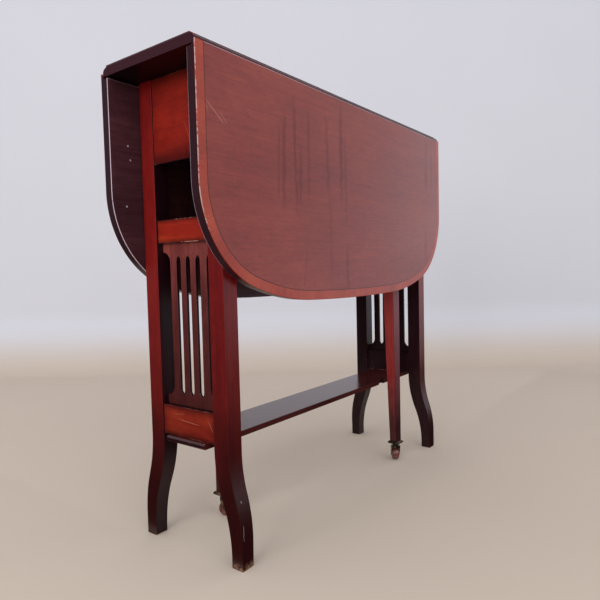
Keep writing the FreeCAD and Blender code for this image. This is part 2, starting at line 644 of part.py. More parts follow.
def make_end(end, screws):
    """Apron, mid rail and lower rail of one end, grooved for the splat's tongues."""
    sign = ends[end]
    splat_x = splat_spans(sign)
    wide = (f"-{leg_inner}", leg_inner)
    make_splat(end)
    apron = cross_rail(end, "end_apron")
    depth = mirror_span(sign, apron_inner, f"({apron_inner} + {stub})")
    housings = [block(f"{end}_apron_housing_{side}", depth, *inner_rail_tenon(side_sign))
                for side, side_sign in sides.items()]
    finish(cut(f"{end}_end_apron", apron, housings), f"{end}_end_apron")
    grooves = {
        "mid_rail": (mid_rail_bottom, f"({mid_rail_bottom} + dims.splat_tongue)"),
        "lower_rail": (f"({lower_rail_top} - dims.splat_tongue)", lower_rail_top),
    }
    for rail, z_span in grooves.items():
        groove = block(f"{end}_{rail}_groove", splat_x, wide, z_span)
        drilled = screws if rail == "lower_rail" else []
        finish(cut(f"{end}_{rail}", cross_rail(end, rail), [groove, *drilled]), f"{end}_{rail}")


# ---------------------------------------------------------------- stretcher

def stretcher_screws(end):
    """Two screws up through the stretcher into the middle of a lower rail."""
    x = f"({ends[end]} * ({trestle_outer} - dims.lower_rail_recess - dims.end_rail_depth / 2))"
    size = ("dims.frame_screw_radius", "dims.frame_head_radius", "dims.frame_screw_length")
    return [screw(f"{end}_stretcher_screw_{number}", *size,
                  (x, f"({sign} * dims.stretcher_screw_spacing / 2)", stretcher_bottom), "z")
            for number, sign in enumerate((-1, 1))]


def stretcher_notch(side):
    """The notch in an edge of the stretcher that the leg of a closed gate lies in."""
    sign = sides[side]
    near = f"({on_taper(gate_leg_near, gate_foot_near)} - dims.notch_clearance)"
    far = f"({gate_leg_far} + dims.notch_clearance)"
    x_span = (f"(dims.pivot_shift + {near})", f"(dims.pivot_shift + {far})")
    if sign > 0:
        x_span = (f"(dims.pivot_shift - {far})", f"(dims.pivot_shift - {near})")
    leg_back = f"(dims.pivot_offset - {on_taper(fly_half, gate_foot_back)} - dims.notch_clearance)"
    y_span = mirror_span(sign, leg_back, "(dims.stretcher_width / 2)")
    return block(f"{side}_stretcher_notch", x_span, y_span, (stretcher_bottom, "dims.stretcher_top"))


def make_stretcher(screws):
    """The flat board that ties both ends together. Its ends run past the legs and are bevelled."""
    half = f"({trestle_outer} + dims.stretcher_overhang)"
    bevel = "dims.stretcher_bevel"
    corners = [
        (f"-{half}", f"({stretcher_bottom} + {bevel})"), (f"(-{half} + {bevel})", stretcher_bottom),
        (f"({half} - {bevel})", stretcher_bottom), (half, f"({stretcher_bottom} + {bevel})"),
        (half, f"(dims.stretcher_top - {bevel})"), (f"({half} - {bevel})", "dims.stretcher_top"),
        (f"(-{half} + {bevel})", "dims.stretcher_top"), (f"-{half}", f"(dims.stretcher_top - {bevel})"),
    ]
    board = extrusion("stretcher_board", "XZ_Plane", corners, "dims.stretcher_width", both_ways=True)
    notches = [stretcher_notch(side) for side in sides]
    finish(cut("stretcher", board, notches + screws), "stretcher")


# ---------------------------------------------------------------- rails under the top

def inner_rail_tenon(sign):
    """Y and Z spans of the stub tenon on each end of an inner rail."""
    middle = f"({inner_rail_face} - dims.inner_rail_thickness / 2)"
    y_span = mirror_span(sign, *about(middle, "dims.tenon_thickness"))
    return y_span, (f"({rail_bottom} + dims.tenon_shoulder)", f"({underside} - dims.tenon_shoulder)")


def rail_screws(side):
    """The screws that hold a fixed rail to the inner rail behind it."""
    sign = sides[side]
    inward = "-y" if sign > 0 else "y"
    size = ("dims.frame_screw_radius", "dims.frame_head_radius", "dims.frame_screw_length")
    face = f"({sign} * (dims.pivot_offset + {fly_half}))"
    middle = f"({rail_bottom} + dims.side_rail_height / 2)"
    screws = []
    for number in range(sizes["rail_screw_count"]):
        x = f"({sign} * (dims.rail_screw_start + {number} * dims.rail_screw_pitch))"
        screws.append(screw(f"{side}_rail_screw_{number}", *size, (x, face, middle), inward))
    return screws


def finger_span(number):
    """Z span of one finger of the knuckle, counted from the bottom, less the play between fingers."""
    low = f"({rail_bottom} + {number} * {finger_pitch})"
    return f"({low} + dims.finger_gap)", f"({low} + {finger_pitch} - dims.finger_gap)"


def knuckle(name, body, own, other):
    """Round a rail's end into fingers about the pin, and hollow it where the other rail's fingers turn.

    body has its pin on the Z axis. own and other are the finger numbers.
    """
    hollows = []
    for number in other:
        low = f"({finger_span(number)[0]} - 2 * dims.finger_gap)"
        hollows.append(rod(f"{name}_hollow_{number}", f"{fly_half} + dims.knuckle_gap",
                           f"{finger_pitch} + 2 * dims.finger_gap", ("0", "0", low)))
    hollowed = cut(f"{name}_hollowed", body, hollows)
    fingers = []
    for number in own:
        low, high = finger_span(number)
        fingers.append(rod(f"{name}_finger_{number}", fly_half, f"{high} - {low}", ("0", "0", low)))
    return fuse(f"{name}_fingered", [hollowed, *fingers])


def make_side(side, screws):
    """One side under the top: inner rail, fixed rail with its knuckle, and the knuckle's pin."""
    sign = sides[side]
    body = block(f"{side}_inner_rail_body", (f"-{apron_inner}", apron_inner),
                 mirror_span(sign, inner_rail_back, inner_rail_face), (rail_bottom, underside))
    reach = f"({apron_inner} + {stub})"
    tenons = block(f"{side}_inner_rail_tenons", (f"-{reach}", reach), *inner_rail_tenon(sign))
    rail = fuse(f"{side}_inner_rail_tenoned", [body, tenons])
    finish(cut(f"{side}_inner_rail", rail, screws), f"{side}_inner_rail")

    count = sizes["finger_count"]
    own, other = range(0, count, 2), range(1, count, 2)
    # drawn with the pin at the origin, the outer face towards -Y and the rail towards -X
    length = f"({apron_inner} + {-sign} * dims.pivot_shift)"
    corners = [
        ("0", "0"), ("0", f"({fly_half} + dims.fly_gap)"), (f"-{length}", f"({fly_half} + dims.fly_gap)"),
        (f"-{length}", f"-{fly_half}"), (f"-{fly_half}", f"-{fly_half}"),
    ]
    height = "dims.side_rail_height"
    plan = extrusion(f"{side}_fixed_rail_plan", "XY_Plane", corners, height, offset=rail_bottom)
    shaped = knuckle(f"{side}_fixed_rail", plan, own, other)
    bore = rod(f"{side}_fixed_bore", "dims.knuckle_pin_radius", height, ("0", "0", rail_bottom))
    bored = cut(f"{side}_fixed_rail_bored", shaped, [bore])
    turn = "0" if sign < 0 else "180"
    place(bored, "dims.pivot_shift", f"({sign} * dims.pivot_offset)", "0", turn)
    finish(cut(f"{side}_fixed_rail", bored, screws), f"{side}_fixed_rail")
    pin = rod(f"{side}_knuckle_pin", "dims.knuckle_pin_radius", height,
              ("dims.pivot_shift", f"({sign} * dims.pivot_offset)", rail_bottom))
    finish(pin, f"{side}_knuckle_pin")


def make_spacers():
    """Blocks glued between the two inner rails, at the middle and near both ends."""
    blocks = []
    for number, step in enumerate((-1, 0, 1)):
        middle = f"({step} * dims.spacer_spacing)"
        blocks.append(block(f"spacer_{number}", about(middle, "dims.spacer_length"),
                            (f"-{inner_rail_back}", inner_rail_back), (rail_bottom, underside)))
    finish(group("spacer_blocks", blocks), "spacer_blocks")


# ---------------------------------------------------------------- gates

def gate_turn(side):
    """The turn of a gate drawn along +X. Outwards is clockwise from above. Only the front one is ajar."""
    return f"(-{gate_swing})" if side == "front" else "180"


def on_taper(top, foot):
    """Where a face of a gate leg's taper, from top to foot, lies at the height of the stretcher."""
    drop = "(dims.gate_taper_top - dims.stretcher_top) / (dims.gate_taper_top - dims.caster_height)"
    return f"({top} + ({foot} - {top}) * {drop})"


def place_on_gate(piece, side):
    return place(piece, "dims.pivot_shift", f"({sides[side]} * dims.pivot_offset)", "0", gate_turn(side))


def make_gate(side):
    """The fly rail and the leg that it carries, drawn closed: the pin at the origin, +X along the rail."""
    tenon_end = f"({gate_leg_near} + dims.gate_tenon_length)"
    tenon_z = (f"({rail_bottom} + dims.tenon_shoulder)", f"({gate_top} - dims.tenon_shoulder)")
    tenon_y = ("-dims.tenon_thickness / 2", "dims.tenon_thickness / 2")
    count = sizes["finger_count"]
    own, other = range(1, count, 2), range(0, count, 2)
    corners = [
        ("0", "0"), (fly_half, f"-{fly_half}"), (gate_leg_near, f"-{fly_half}"),
        (gate_leg_near, fly_half), ("0", fly_half),
    ]
    height = f"({gate_top} - {rail_bottom})"
    plan = extrusion(f"{side}_fly_rail_plan", "XY_Plane", corners, height, offset=rail_bottom)
    shaped = knuckle(f"{side}_fly_rail", plan, own, other)
    tenon_x = (f"({gate_leg_near} - dims.tenon_length)", tenon_end)
    tenon = block(f"{side}_fly_tenon", tenon_x, tenon_y, tenon_z)
    whole = fuse(f"{side}_fly_rail_tenoned", [shaped, tenon])
    bore = rod(f"{side}_fly_bore", "dims.knuckle_pin_radius + dims.running_gap", "dims.side_rail_height",
               ("0", "0", rail_bottom))
    finish(place_on_gate(cut(f"{side}_fly_rail", whole, [bore]), side), f"{side}_fly_rail")

    outer_face = f"(-{gate_leg_out})"
    bottom = "dims.caster_height"
    front_corners = [
        (gate_leg_near, gate_top), (gate_leg_near, "dims.gate_taper_top"),
        (gate_foot_near, bottom), (gate_leg_far, bottom), (gate_leg_far, gate_top),
    ]
    side_corners = [
        (fly_half, gate_top), (fly_half, "dims.gate_taper_top"),
        (gate_foot_back, bottom), (outer_face, bottom), (outer_face, gate_top),
    ]
    both_faces = "2 * dims.gate_leg_depth"
    front_view = extrusion(f"{side}_gate_leg_front", "XZ_Plane", front_corners, both_faces, both_ways=True)
    side_view = extrusion(f"{side}_gate_leg_side", "YZ_Plane", side_corners, gate_leg_far)
    leg = common(f"{side}_gate_leg_shaped", front_view, side_view)
    mortise = block(f"{side}_gate_mortise", (gate_leg_near, tenon_end), tenon_y, tenon_z)
    socket = rod(f"{side}_gate_socket", "dims.stem_radius", "dims.stem_length",
                 ("dims.gate_reach", f"-{swivel_out}", bottom))
    finish(place_on_gate(cut(f"{side}_gate_leg", leg, [mortise, socket]), side), f"{side}_gate_leg")


# ---------------------------------------------------------------- casters

def swivel_place(side):
    """X and Y of a caster's swivel axis."""
    turn = gate_turn(side)
    x = f"(dims.pivot_shift + dims.gate_reach * cos({turn}) + {swivel_out} * sin({turn}))"
    y = f"({sides[side]} * dims.pivot_offset + dims.gate_reach * sin({turn}) - {swivel_out} * cos({turn}))"
    return x, y


plate_bottom = "(dims.caster_height - dims.plate_thickness)"
boss_bottom = f"({plate_bottom} - dims.boss_height)"
bridge_bottom = "(2 * dims.wheel_radius + dims.bridge_gap)"


def make_caster_plate(side):
    """The brass plate under the leg, with a bevelled rim, a boss below and a stem up inside the leg."""
    half_x = "(dims.gate_foot_width / 2 + dims.plate_margin)"
    half_y = "(dims.gate_foot_depth / 2 + dims.plate_margin)"
    body = doc.addObject("PartDesign::Body", f"{side}_plate_body")
    sketch = sketch_on(body, "XY_Plane", f"{side}_plate_outline", plate_bottom)
    draw(sketch, [(f"-{half_x}", f"-{half_y}"), (half_x, f"-{half_y}"),
                  (half_x, half_y), (f"-{half_x}", half_y)])
    pad = body.newObject("PartDesign::Pad", f"{side}_plate_pad")
    pad.Profile = sketch
    pad.setExpression("Length", "dims.plate_thickness")
    doc.recompute()
    rim = [f"Edge{n}" for n, edge in enumerate(pad.Shape.Edges, 1)
           if abs(edge.Vertexes[0].Z - edge.Vertexes[1].Z) < 1e-6]
    chamfer = body.newObject("PartDesign::Chamfer", f"{side}_plate_bevel")
    chamfer.Base = (pad, rim)
    chamfer.setExpression("Size", "dims.plate_bevel")
    body.Tip = chamfer
    boss = doc.addObject("Part::Cone", f"{side}_plate_boss")
    boss.setExpression("Radius1", "dims.neck_radius")
    boss.setExpression("Radius2", "dims.boss_radius")
    boss.setExpression("Height", "dims.boss_height")
    place(boss, z=boss_bottom)
    seat = ("0", "0", "dims.caster_height")
    stem = rod(f"{side}_plate_stem", "dims.stem_radius", "dims.stem_length", seat)
    solid = fuse(f"{side}_plate_solid", [body, boss, stem])
    socket = rod(f"{side}_spindle_socket", "dims.spindle_radius + dims.running_gap",
                 "dims.spindle_length + dims.horn_gap", ("0", "0", boss_bottom))
    x, y = swivel_place(side)
    plate = cut(f"{side}_caster_plate", solid, [socket])
    finish(place(plate, x, y, "0", gate_turn(side)), f"{side}_caster_plate")


def make_horn(side):
    """The brass horn: a spindle, a bridge over the wheel and two cheeks that reach back to the axle."""
    half = "(dims.wheel_width / 2 + dims.horn_gap + dims.horn_cheek)"
    top = f"({bridge_bottom} + dims.horn_bridge)"
    neck = f"({boss_bottom} - dims.horn_gap / 2)"
    eye = ("dims.caster_trail", "dims.wheel_radius")
    eye_low, eye_high = f"({eye[0]} - dims.horn_eye_radius)", f"({eye[0]} + dims.horn_eye_radius)"
    corners = [
        ("-dims.stem_radius", top), ("-dims.stem_radius", bridge_bottom), (eye_low, eye[1]),
        (eye[0], f"({eye[1]} - dims.horn_eye_radius)"), (eye_high, eye[1]), (eye_high, bridge_bottom),
        ("dims.stem_radius", top),
    ]
    cheeks = extrusion(f"{side}_horn_cheeks", "XZ_Plane", corners, f"2 * {half}", {2: eye, 3: eye},
                       both_ways=True)
    inside = "(dims.wheel_width / 2 + dims.horn_gap)"
    reach = "(dims.wheel_radius + dims.caster_trail)"
    hollow = block(f"{side}_horn_hollow", (f"-{reach}", reach), (f"-{inside}", inside),
                   ("0", bridge_bottom))
    fork = cut(f"{side}_horn_fork", cheeks, [hollow])
    seat = ("0", "0", bridge_bottom)
    collar = rod(f"{side}_horn_neck", "dims.neck_radius", f"{neck} - {bridge_bottom}", seat)
    reach_up = f"{boss_bottom} + dims.spindle_length - {bridge_bottom}"
    spindle = rod(f"{side}_horn_spindle", "dims.spindle_radius", reach_up, seat)
    solid = fuse(f"{side}_horn_solid", [fork, collar, spindle])
    bore = rod(f"{side}_horn_bore", "dims.axle_radius", f"2 * {half}", (eye[0], f"-{half}", eye[1]), "y")
    x, y = swivel_place(side)
    horn = place(cut(f"{side}_caster_horn", solid, [bore]), x, y, "0", f"dims.{side}_caster_turn")
    finish(horn, f"{side}_caster_horn")
    return half


def make_wheel(side, half):
    """The axle and the wheel, drawn about their own axis and turned onto it. Each rim has two bevels."""
    radius, edge = "dims.wheel_radius", "(dims.wheel_width / 2)"
    bore = "(dims.axle_radius + dims.running_gap)"
    steps = [(f"({radius} - dims.wheel_rounding * (1 - cos({turn})))",
              f"({edge} - dims.wheel_rounding * (1 - sin({turn})))") for turn in (0, 45, 90)]
    far = [(r, f"(-{z})") for r, z in reversed(steps)]
    corners = [(bore, f"-{edge}"), *far, *steps, (bore, edge)]
    wheel = turned_piece(f"{side}_wheel_turned", corners)
    axle = doc.addObject("Part::Cylinder", f"{side}_caster_axle")
    axle.setExpression("Radius", "dims.axle_radius")
    axle.setExpression("Height", f"2 * {half}")
    turn = f"dims.{side}_caster_turn"
    x, y = swivel_place(side)
    for piece, back in ((wheel, "0"), (axle, half)):
        # the piece's own Z axis lies across the caster
        lying = Rotation(Vector(0, 0, 1), value(turn)).multiply(along["y"])
        piece.Placement = Placement(Vector(), lying)
        place(piece, f"({x} + dims.caster_trail * cos({turn}) + {back} * sin({turn}))",
              f"({y} + dims.caster_trail * sin({turn}) - {back} * cos({turn}))", radius)
    finish(wheel, f"{side}_caster_wheel")
    finish(axle, f"{side}_caster_axle")


# ---------------------------------------------------------------- the table

top_screws, leaf_screws = [], {"front": [], "back": []}
for side in sides:
    for end in ends:
        into_top, into_leaf = hinge_screws(side, end)
        top_screws += into_top
        leaf_screws[side] += into_leaf
        hinge(side, end, into_top, into_leaf)
make_top(top_screws)
make_leaves(leaf_screws)

make_legs()
frame_screws = []
for end in ends:
    up = stretcher_screws(end)
    frame_screws += up
    make_end(end, up)
make_stretcher(list(frame_screws))

for side in sides:
    through = rail_screws(side)
    frame_screws += through
    make_side(side, through)
    make_gate(side)
    make_caster_plate(side)
    make_wheel(side, make_horn(side))
make_spacers()
finish(group("frame_screws", frame_screws), "frame_screws")

doc.recompute()

# ---------------------------------------------------------------- checks and files

failed = [item.Name for item in doc.Objects if {"Invalid", "Error"} & set(item.State)]
if failed:
    raise RuntimeError(f"these objects failed: {failed}")
for piece in finished:
    if piece.Shape.isNull() or not piece.Shape.isValid():
        raise RuntimeError(f"{piece.Label} has no valid shape")

os.makedirs("parts", exist_ok=True)
for piece in finished:
    piece.Shape.exportStep(f"parts/{piece.Label}.step")
print(len(finished), "pieces written")
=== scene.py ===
# Drop leaf table in French polished mahogany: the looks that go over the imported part.
# Metres. X runs along the table, Y from the front leaf to the back one, Z up from the floor.
import json
import math

import bmesh
import bpy
import numpy as np
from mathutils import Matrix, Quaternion, Vector

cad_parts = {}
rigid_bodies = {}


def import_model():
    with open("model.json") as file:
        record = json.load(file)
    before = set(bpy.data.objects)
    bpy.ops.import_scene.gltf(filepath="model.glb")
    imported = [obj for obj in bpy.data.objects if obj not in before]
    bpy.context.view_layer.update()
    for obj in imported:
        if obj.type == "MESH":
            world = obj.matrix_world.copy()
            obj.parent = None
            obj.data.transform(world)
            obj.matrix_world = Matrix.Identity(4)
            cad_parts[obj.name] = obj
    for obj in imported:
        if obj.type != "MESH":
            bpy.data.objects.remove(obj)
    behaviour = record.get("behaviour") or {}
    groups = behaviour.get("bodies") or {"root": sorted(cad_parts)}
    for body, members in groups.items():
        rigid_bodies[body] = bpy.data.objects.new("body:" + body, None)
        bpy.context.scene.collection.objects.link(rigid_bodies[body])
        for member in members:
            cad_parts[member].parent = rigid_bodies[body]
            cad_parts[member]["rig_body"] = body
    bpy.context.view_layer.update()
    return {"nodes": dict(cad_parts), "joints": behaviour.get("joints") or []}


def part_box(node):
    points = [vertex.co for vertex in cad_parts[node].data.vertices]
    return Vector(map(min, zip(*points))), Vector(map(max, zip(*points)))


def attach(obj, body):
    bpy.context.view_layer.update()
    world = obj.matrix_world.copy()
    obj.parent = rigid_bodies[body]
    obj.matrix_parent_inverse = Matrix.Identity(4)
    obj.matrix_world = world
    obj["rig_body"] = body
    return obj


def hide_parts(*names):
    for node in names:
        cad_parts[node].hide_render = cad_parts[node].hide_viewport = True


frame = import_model()
nodes = frame["nodes"]
bodyOf = {name: obj["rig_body"] for name, obj in nodes.items()}
sides = {"front": -1, "back": 1}
ends = {"left": -1, "right": 1}
# A face looks one way when its normal's part that way passes looking, and squarely when it passes square.
# Two places touch when they are nearer than touching.
looking, square, touching = 0.6, 0.9, 1e-5
print("frame loaded:", len(nodes), "nodes")


def rgba(colour):
    return (*colour, 1.0)


# Each input of a node is a value, or a socket to link from.
def feed(tree, made, inputs):
    for key, given in inputs.items():
        socket = made.inputs[key]
        if isinstance(given, bpy.types.NodeSocket):
            tree.links.new(given, socket)
        else:
            socket.default_value = given


def put(tree, kind, inputs=None, **settings):
    made = tree.nodes.new("ShaderNode" + kind)
    for key, setting in settings.items():
        setattr(made, key, setting)
    feed(tree, made, inputs or {})
    return made


def maths(tree, operation, first, second=0.0, third=0.0, clamp=False):
    made = put(tree, "Math", {0: first, 1: second, 2: third}, operation=operation, use_clamp=clamp)
    return made.outputs[0]


# Lifts a value from the range low..high to 0..1 with a soft start and end.
def ease(tree, value, low, high):
    made = put(tree, "MapRange", {"Value": value, "From Min": low, "From Max": high},
               interpolation_type="SMOOTHSTEP")
    return made.outputs["Result"]


def blendColour(tree, share, first, second):
    made = put(tree, "Mix", {0: share, 6: first, 7: second}, data_type="RGBA")    # 6 and 7 are its colours
    return made.outputs[2]


# Lays one colour over another where a mask is, as strongly as is given.
def cover(tree, colour, mask, strength, over):
    return blendColour(tree, maths(tree, "MULTIPLY", mask, strength), colour, rgba(over))


# Noise stretched along the axes: scale is how many of its features fit in a metre, each way.
def streaks(tree, place, scale, detail, roughness=0.5):
    drawn = put(tree, "Mapping", {"Vector": place, "Scale": scale})
    return put(tree, "TexNoise", {"Vector": drawn.outputs[0], "Scale": 1.0, "Detail": detail,
                                  "Roughness": roughness})


# A noise's swing about its middle, times weight, on top of base.
def sway(tree, noise, weight, base):
    return maths(tree, "MULTIPLY_ADD", maths(tree, "SUBTRACT", noise.outputs[0], 0.5), weight, base)


# A shader group with named inputs and outputs. sockets are (name, kind, starting value).
def newGroup(name, inputs, outputs):
    tree = bpy.data.node_groups.new(name, "ShaderNodeTree")
    kinds = {"number": "NodeSocketFloat", "vector": "NodeSocketVector", "colour": "NodeSocketColor"}
    for label, kind, start in inputs:
        socket = tree.interface.new_socket(name=label, in_out="INPUT", socket_type=kinds[kind])
        if start is not None:
            socket.default_value = start
    for label, kind in outputs:
        tree.interface.new_socket(name=label, in_out="OUTPUT", socket_type=kinds[kind])
    given = tree.nodes.new("NodeGroupInput")
    result = tree.nodes.new("NodeGroupOutput")
    return tree, given.outputs, result.inputs


def useGroup(tree, group, inputs):
    return put(tree, "Group", inputs, node_tree=group).outputs


# Mahogany: Place is in metres with the grain along its X. Soft figure, fine streaks and short dark pores.
def makeGrain():
    tree, given, result = newGroup(
        "mahoganyGrain",
        [("Place", "vector", None), ("Dark", "colour", None), ("Mid", "colour", None),
         ("Light", "colour", None), ("Figure", "number", 1.0), ("Stripe", "number", 1.0)],
        [("Colour", "colour"), ("Height", "number"), ("Dullness", "number")])
    figure = streaks(tree, given["Place"], (2.2, 15.0, 15.0), 3.0)
    stripe = streaks(tree, given["Place"], (9.0, 330.0, 330.0), 3.0, 0.6)
    pore = streaks(tree, given["Place"], (130.0, 1500.0, 1500.0), 1.0)
    mottle = streaks(tree, given["Place"], (45.0, 130.0, 130.0), 4.0, 0.7)
    cloud = put(tree, "TexNoise", {"Vector": given["Place"], "Scale": 8.0, "Detail": 4.0, "Roughness": 0.55})
    sunk = ease(tree, pore.outputs[0], 0.60, 0.74)
    lift = sway(tree, figure, given["Figure"], 0.5)
    lift = sway(tree, stripe, maths(tree, "MULTIPLY", given["Stripe"], 0.55), lift)
    lift = sway(tree, cloud, 0.35, lift)
    lift = sway(tree, mottle, 0.45, lift)
    low = blendColour(tree, ease(tree, lift, 0.22, 0.54), given["Dark"], given["Mid"])
    colour = blendColour(tree, ease(tree, lift, 0.46, 0.80), low, given["Light"])
    tree.links.new(cover(tree, colour, sunk, 0.40, (0.02, 0.004, 0.003)), result["Colour"])
    height = maths(tree, "MULTIPLY_ADD", sunk, -0.4, maths(tree, "MULTIPLY", cloud.outputs[0], 0.6))
    tree.links.new(height, result["Height"])
    tree.links.new(cloud.outputs[0], result["Dullness"])
    return tree


# Small pale specks of old paint and dust, scattered a few to the hand's breadth.
def makeFlecks():
    tree, given, result = newGroup(
        "paintFlecks", [("Place", "vector", None), ("Share", "number", 0.12)], [("Mask", "number")])
    cells = put(tree, "TexVoronoi", {"Vector": given["Place"], "Scale": 45.0})
    chance = put(tree, "SeparateColor", {"Color": cells.outputs["Color"]})
    size = maths(tree, "MULTIPLY_ADD", chance.outputs[1], 0.035, 0.012)
    inside = maths(tree, "LESS_THAN", cells.outputs["Distance"], size)
    chosen = maths(tree, "LESS_THAN", chance.outputs[0], given["Share"])
    tree.links.new(maths(tree, "MULTIPLY", inside, chosen), result["Mask"])
    return tree


# Broken pale wear, for arrises: it comes and goes along the edge.
def makeWear():
    tree, given, result = newGroup(
        "arrisWear", [("Place", "vector", None), ("Amount", "number", 0.5)], [("Mask", "number")])
    long = put(tree, "TexNoise", {"Vector": given["Place"], "Scale": 22.0, "Detail": 5.0, "Roughness": 0.65})
    fine = put(tree, "TexNoise", {"Vector": given["Place"], "Scale": 240.0, "Detail": 2.0})
    both = maths(tree, "MULTIPLY_ADD", fine.outputs[0], 0.35, maths(tree, "MULTIPLY", long.outputs[0], 0.65))
    edge = maths(tree, "SUBTRACT", 0.86, maths(tree, "MULTIPLY", given["Amount"], 0.55))
    tree.links.new(ease(tree, both, edge, maths(tree, "ADD", edge, 0.09)), result["Mask"])
    return tree


# A straight mark on a face: Centre is its middle, Turn lays it flat, Reach and Width are its half sizes.
def makeMark():
    tree, given, result = newGroup(
        "polishMark", [("Place", "vector", None), ("Centre", "vector", None), ("Turn", "vector", None),
                       ("Reach", "number", 0.03), ("Width", "number", 0.0006)], [("Mask", "number")])
    local = put(tree, "VectorMath", {0: given["Place"], 1: given["Centre"]}, operation="SUBTRACT")
    turned = put(tree, "VectorRotate", {"Vector": local.outputs[0], "Rotation": given["Turn"]},
                 rotation_type="EULER_XYZ", invert=True)
    parts = put(tree, "SeparateXYZ", {0: turned.outputs[0]})
    wander = put(tree, "TexNoise", {"Vector": given["Place"], "Scale": 60.0, "Detail": 2.0})
    stray = maths(tree, "MULTIPLY_ADD", given["Width"], 1.6, 0.0012)    # a mark strays by more than its width
    off = sway(tree, wander, stray, parts.outputs[2])
    across = maths(tree, "DIVIDE", maths(tree, "ABSOLUTE", off), given["Width"])
    along = maths(tree, "DIVIDE", maths(tree, "ABSOLUTE", parts.outputs[0]), given["Reach"])
    thin = maths(tree, "SUBTRACT", 1.0, ease(tree, across, 0.1, 1.0))
    short = maths(tree, "SUBTRACT", 1.0, ease(tree, along, 0.45, 1.0))
    uneven = maths(tree, "MULTIPLY_ADD", wander.outputs[0], 1.2, 0.4, clamp=True)
    tree.links.new(maths(tree, "MULTIPLY", maths(tree, "MULTIPLY", thin, short), uneven), result["Mask"])
    return tree


# Painted shade that darkens the wood towards the floor: full at Low, gone at High, with a ragged upper edge.
def makeFloorShade():
    tree, given, result = newGroup(
        "paintedFloorShade", [("Place", "vector", None), ("Low", "number", 0.05), ("High", "number", 0.40)],
        [("Mask", "number")])
    height = put(tree, "SeparateXYZ", {0: given["Place"]}).outputs[2]
    ragged = put(tree, "TexNoise", {"Vector": given["Place"], "Scale": 16.0, "Detail": 4.0, "Roughness": 0.6})
    tree.links.new(ease(tree, sway(tree, ragged, 0.16, height), given["High"], given["Low"]), result["Mask"])
    return tree


# Painted shade along the borders of a face. Place runs from 0 to 1
# across the face; Reach is how far in the shade comes.
def makeBorderShade():
    tree, given, result = newGroup(
        "paintedBorderShade", [("Place", "vector", None), ("Ragged", "vector", None), ("Reach", "number", 0.2)],
        [("Mask", "number")])
    parts = put(tree, "SeparateXYZ", {0: given["Place"]})
    near = []
    for axis in (0, 1):
        off = maths(tree, "ABSOLUTE", maths(tree, "SUBTRACT", parts.outputs[axis], 0.5))
        near.append(maths(tree, "SUBTRACT", 0.5, off))
    cloud = put(tree, "TexNoise", {"Vector": given["Ragged"], "Scale": 45.0, "Detail": 3.0})
    edge = sway(tree, cloud, 0.16, maths(tree, "SMOOTH_MIN", near[0], near[1], 0.1))
    tree.links.new(ease(tree, edge, given["Reach"], -0.02), result["Mask"])
    return tree


grainGroup, fleckGroup, wearGroup, markGroup = makeGrain(), makeFlecks(), makeWear(), makeMark()
floorShadeGroup, borderShadeGroup = makeFloorShade(), makeBorderShade()
print("shader groups made")


def newMaterial(name):
    material = bpy.data.materials.new(name)
    material.use_nodes = True
    tree = material.node_tree
    shader = tree.nodes["Principled BSDF"]
    return material, tree, shader


# Linear colours: the dark, mid and light of the figure, then the end grain.
woods = {
    "legs": ((0.095, 0.0022, 0.0030), (0.152, 0.0045, 0.0045), (0.215, 0.0100, 0.0060), (0.022, 0.003, 0.004)),
    # gates and shadedGateSides are one wood, lit and shaded: painted light on the gate legs' end faces, painted
    # shade on their other faces.
    "gates": ((0.220, 0.0160, 0.0150), (0.320, 0.0310, 0.0290), (0.410, 0.0460, 0.0390), (0.022, 0.003, 0.004)),
    "shadedGateSides": ((0.098, 0.0200, 0.0260), (0.145, 0.0370, 0.0460), (0.195, 0.0560, 0.0620),
                  (0.022, 0.003, 0.004)),
    # inside is near black: painted shade for the faces towards the middle of the table and the undersides.
    "inside": ((0.007, 0.0010, 0.0020), (0.013, 0.0022, 0.0042), (0.024, 0.0050, 0.0080),
               (0.010, 0.002, 0.003)),
    "rails": ((0.175, 0.0065, 0.0030), (0.262, 0.0130, 0.0045), (0.370, 0.0360, 0.0090), (0.025, 0.005, 0.004)),
    "leaves": ((0.150, 0.0190, 0.0170), (0.222, 0.0300, 0.0235), (0.300, 0.0500, 0.0280),
               (0.026, 0.009, 0.012)),
    "banding": ((0.260, 0.0220, 0.0100), (0.345, 0.0400, 0.0170), (0.430, 0.0640, 0.0270),
                (0.060, 0.012, 0.008)),
    "splats": ((0.112, 0.0200, 0.0190), (0.195, 0.0400, 0.0350), (0.310, 0.0680, 0.0420),
               (0.020, 0.005, 0.005)),
    "stretcher": ((0.030, 0.0040, 0.0040), (0.058, 0.0090, 0.0080), (0.095, 0.0180, 0.0150),
                  (0.016, 0.004, 0.005)),
    "leafInside": ((0.040, 0.0130, 0.0180), (0.062, 0.0215, 0.0280), (0.090, 0.0340, 0.0420),
                   (0.020, 0.007, 0.009)),
    # hidden is near black: painted shade for the top's underside and the pieces under the top.
    "hidden": ((0.003, 0.0006, 0.0020), (0.006, 0.0014, 0.0036), (0.012, 0.0032, 0.0060),
               (0.008, 0.003, 0.004)),
    "string": ((0.040, 0.0070, 0.0060), (0.065, 0.0120, 0.0090), (0.095, 0.0200, 0.0140),
               (0.020, 0.005, 0.005)),
    "topRim": ((0.020, 0.0050, 0.0080), (0.046, 0.0125, 0.0160), (0.100, 0.0300, 0.0260),
               (0.036, 0.011, 0.016)),
    "rim": ((0.012, 0.0028, 0.0050), (0.032, 0.0070, 0.0105), (0.075, 0.0190, 0.0190), (0.024, 0.007, 0.011)),
    "wheel": ((0.060, 0.0120, 0.0100), (0.120, 0.0300, 0.0230), (0.190, 0.0600, 0.0450), (0.110, 0.028, 0.022)),
}
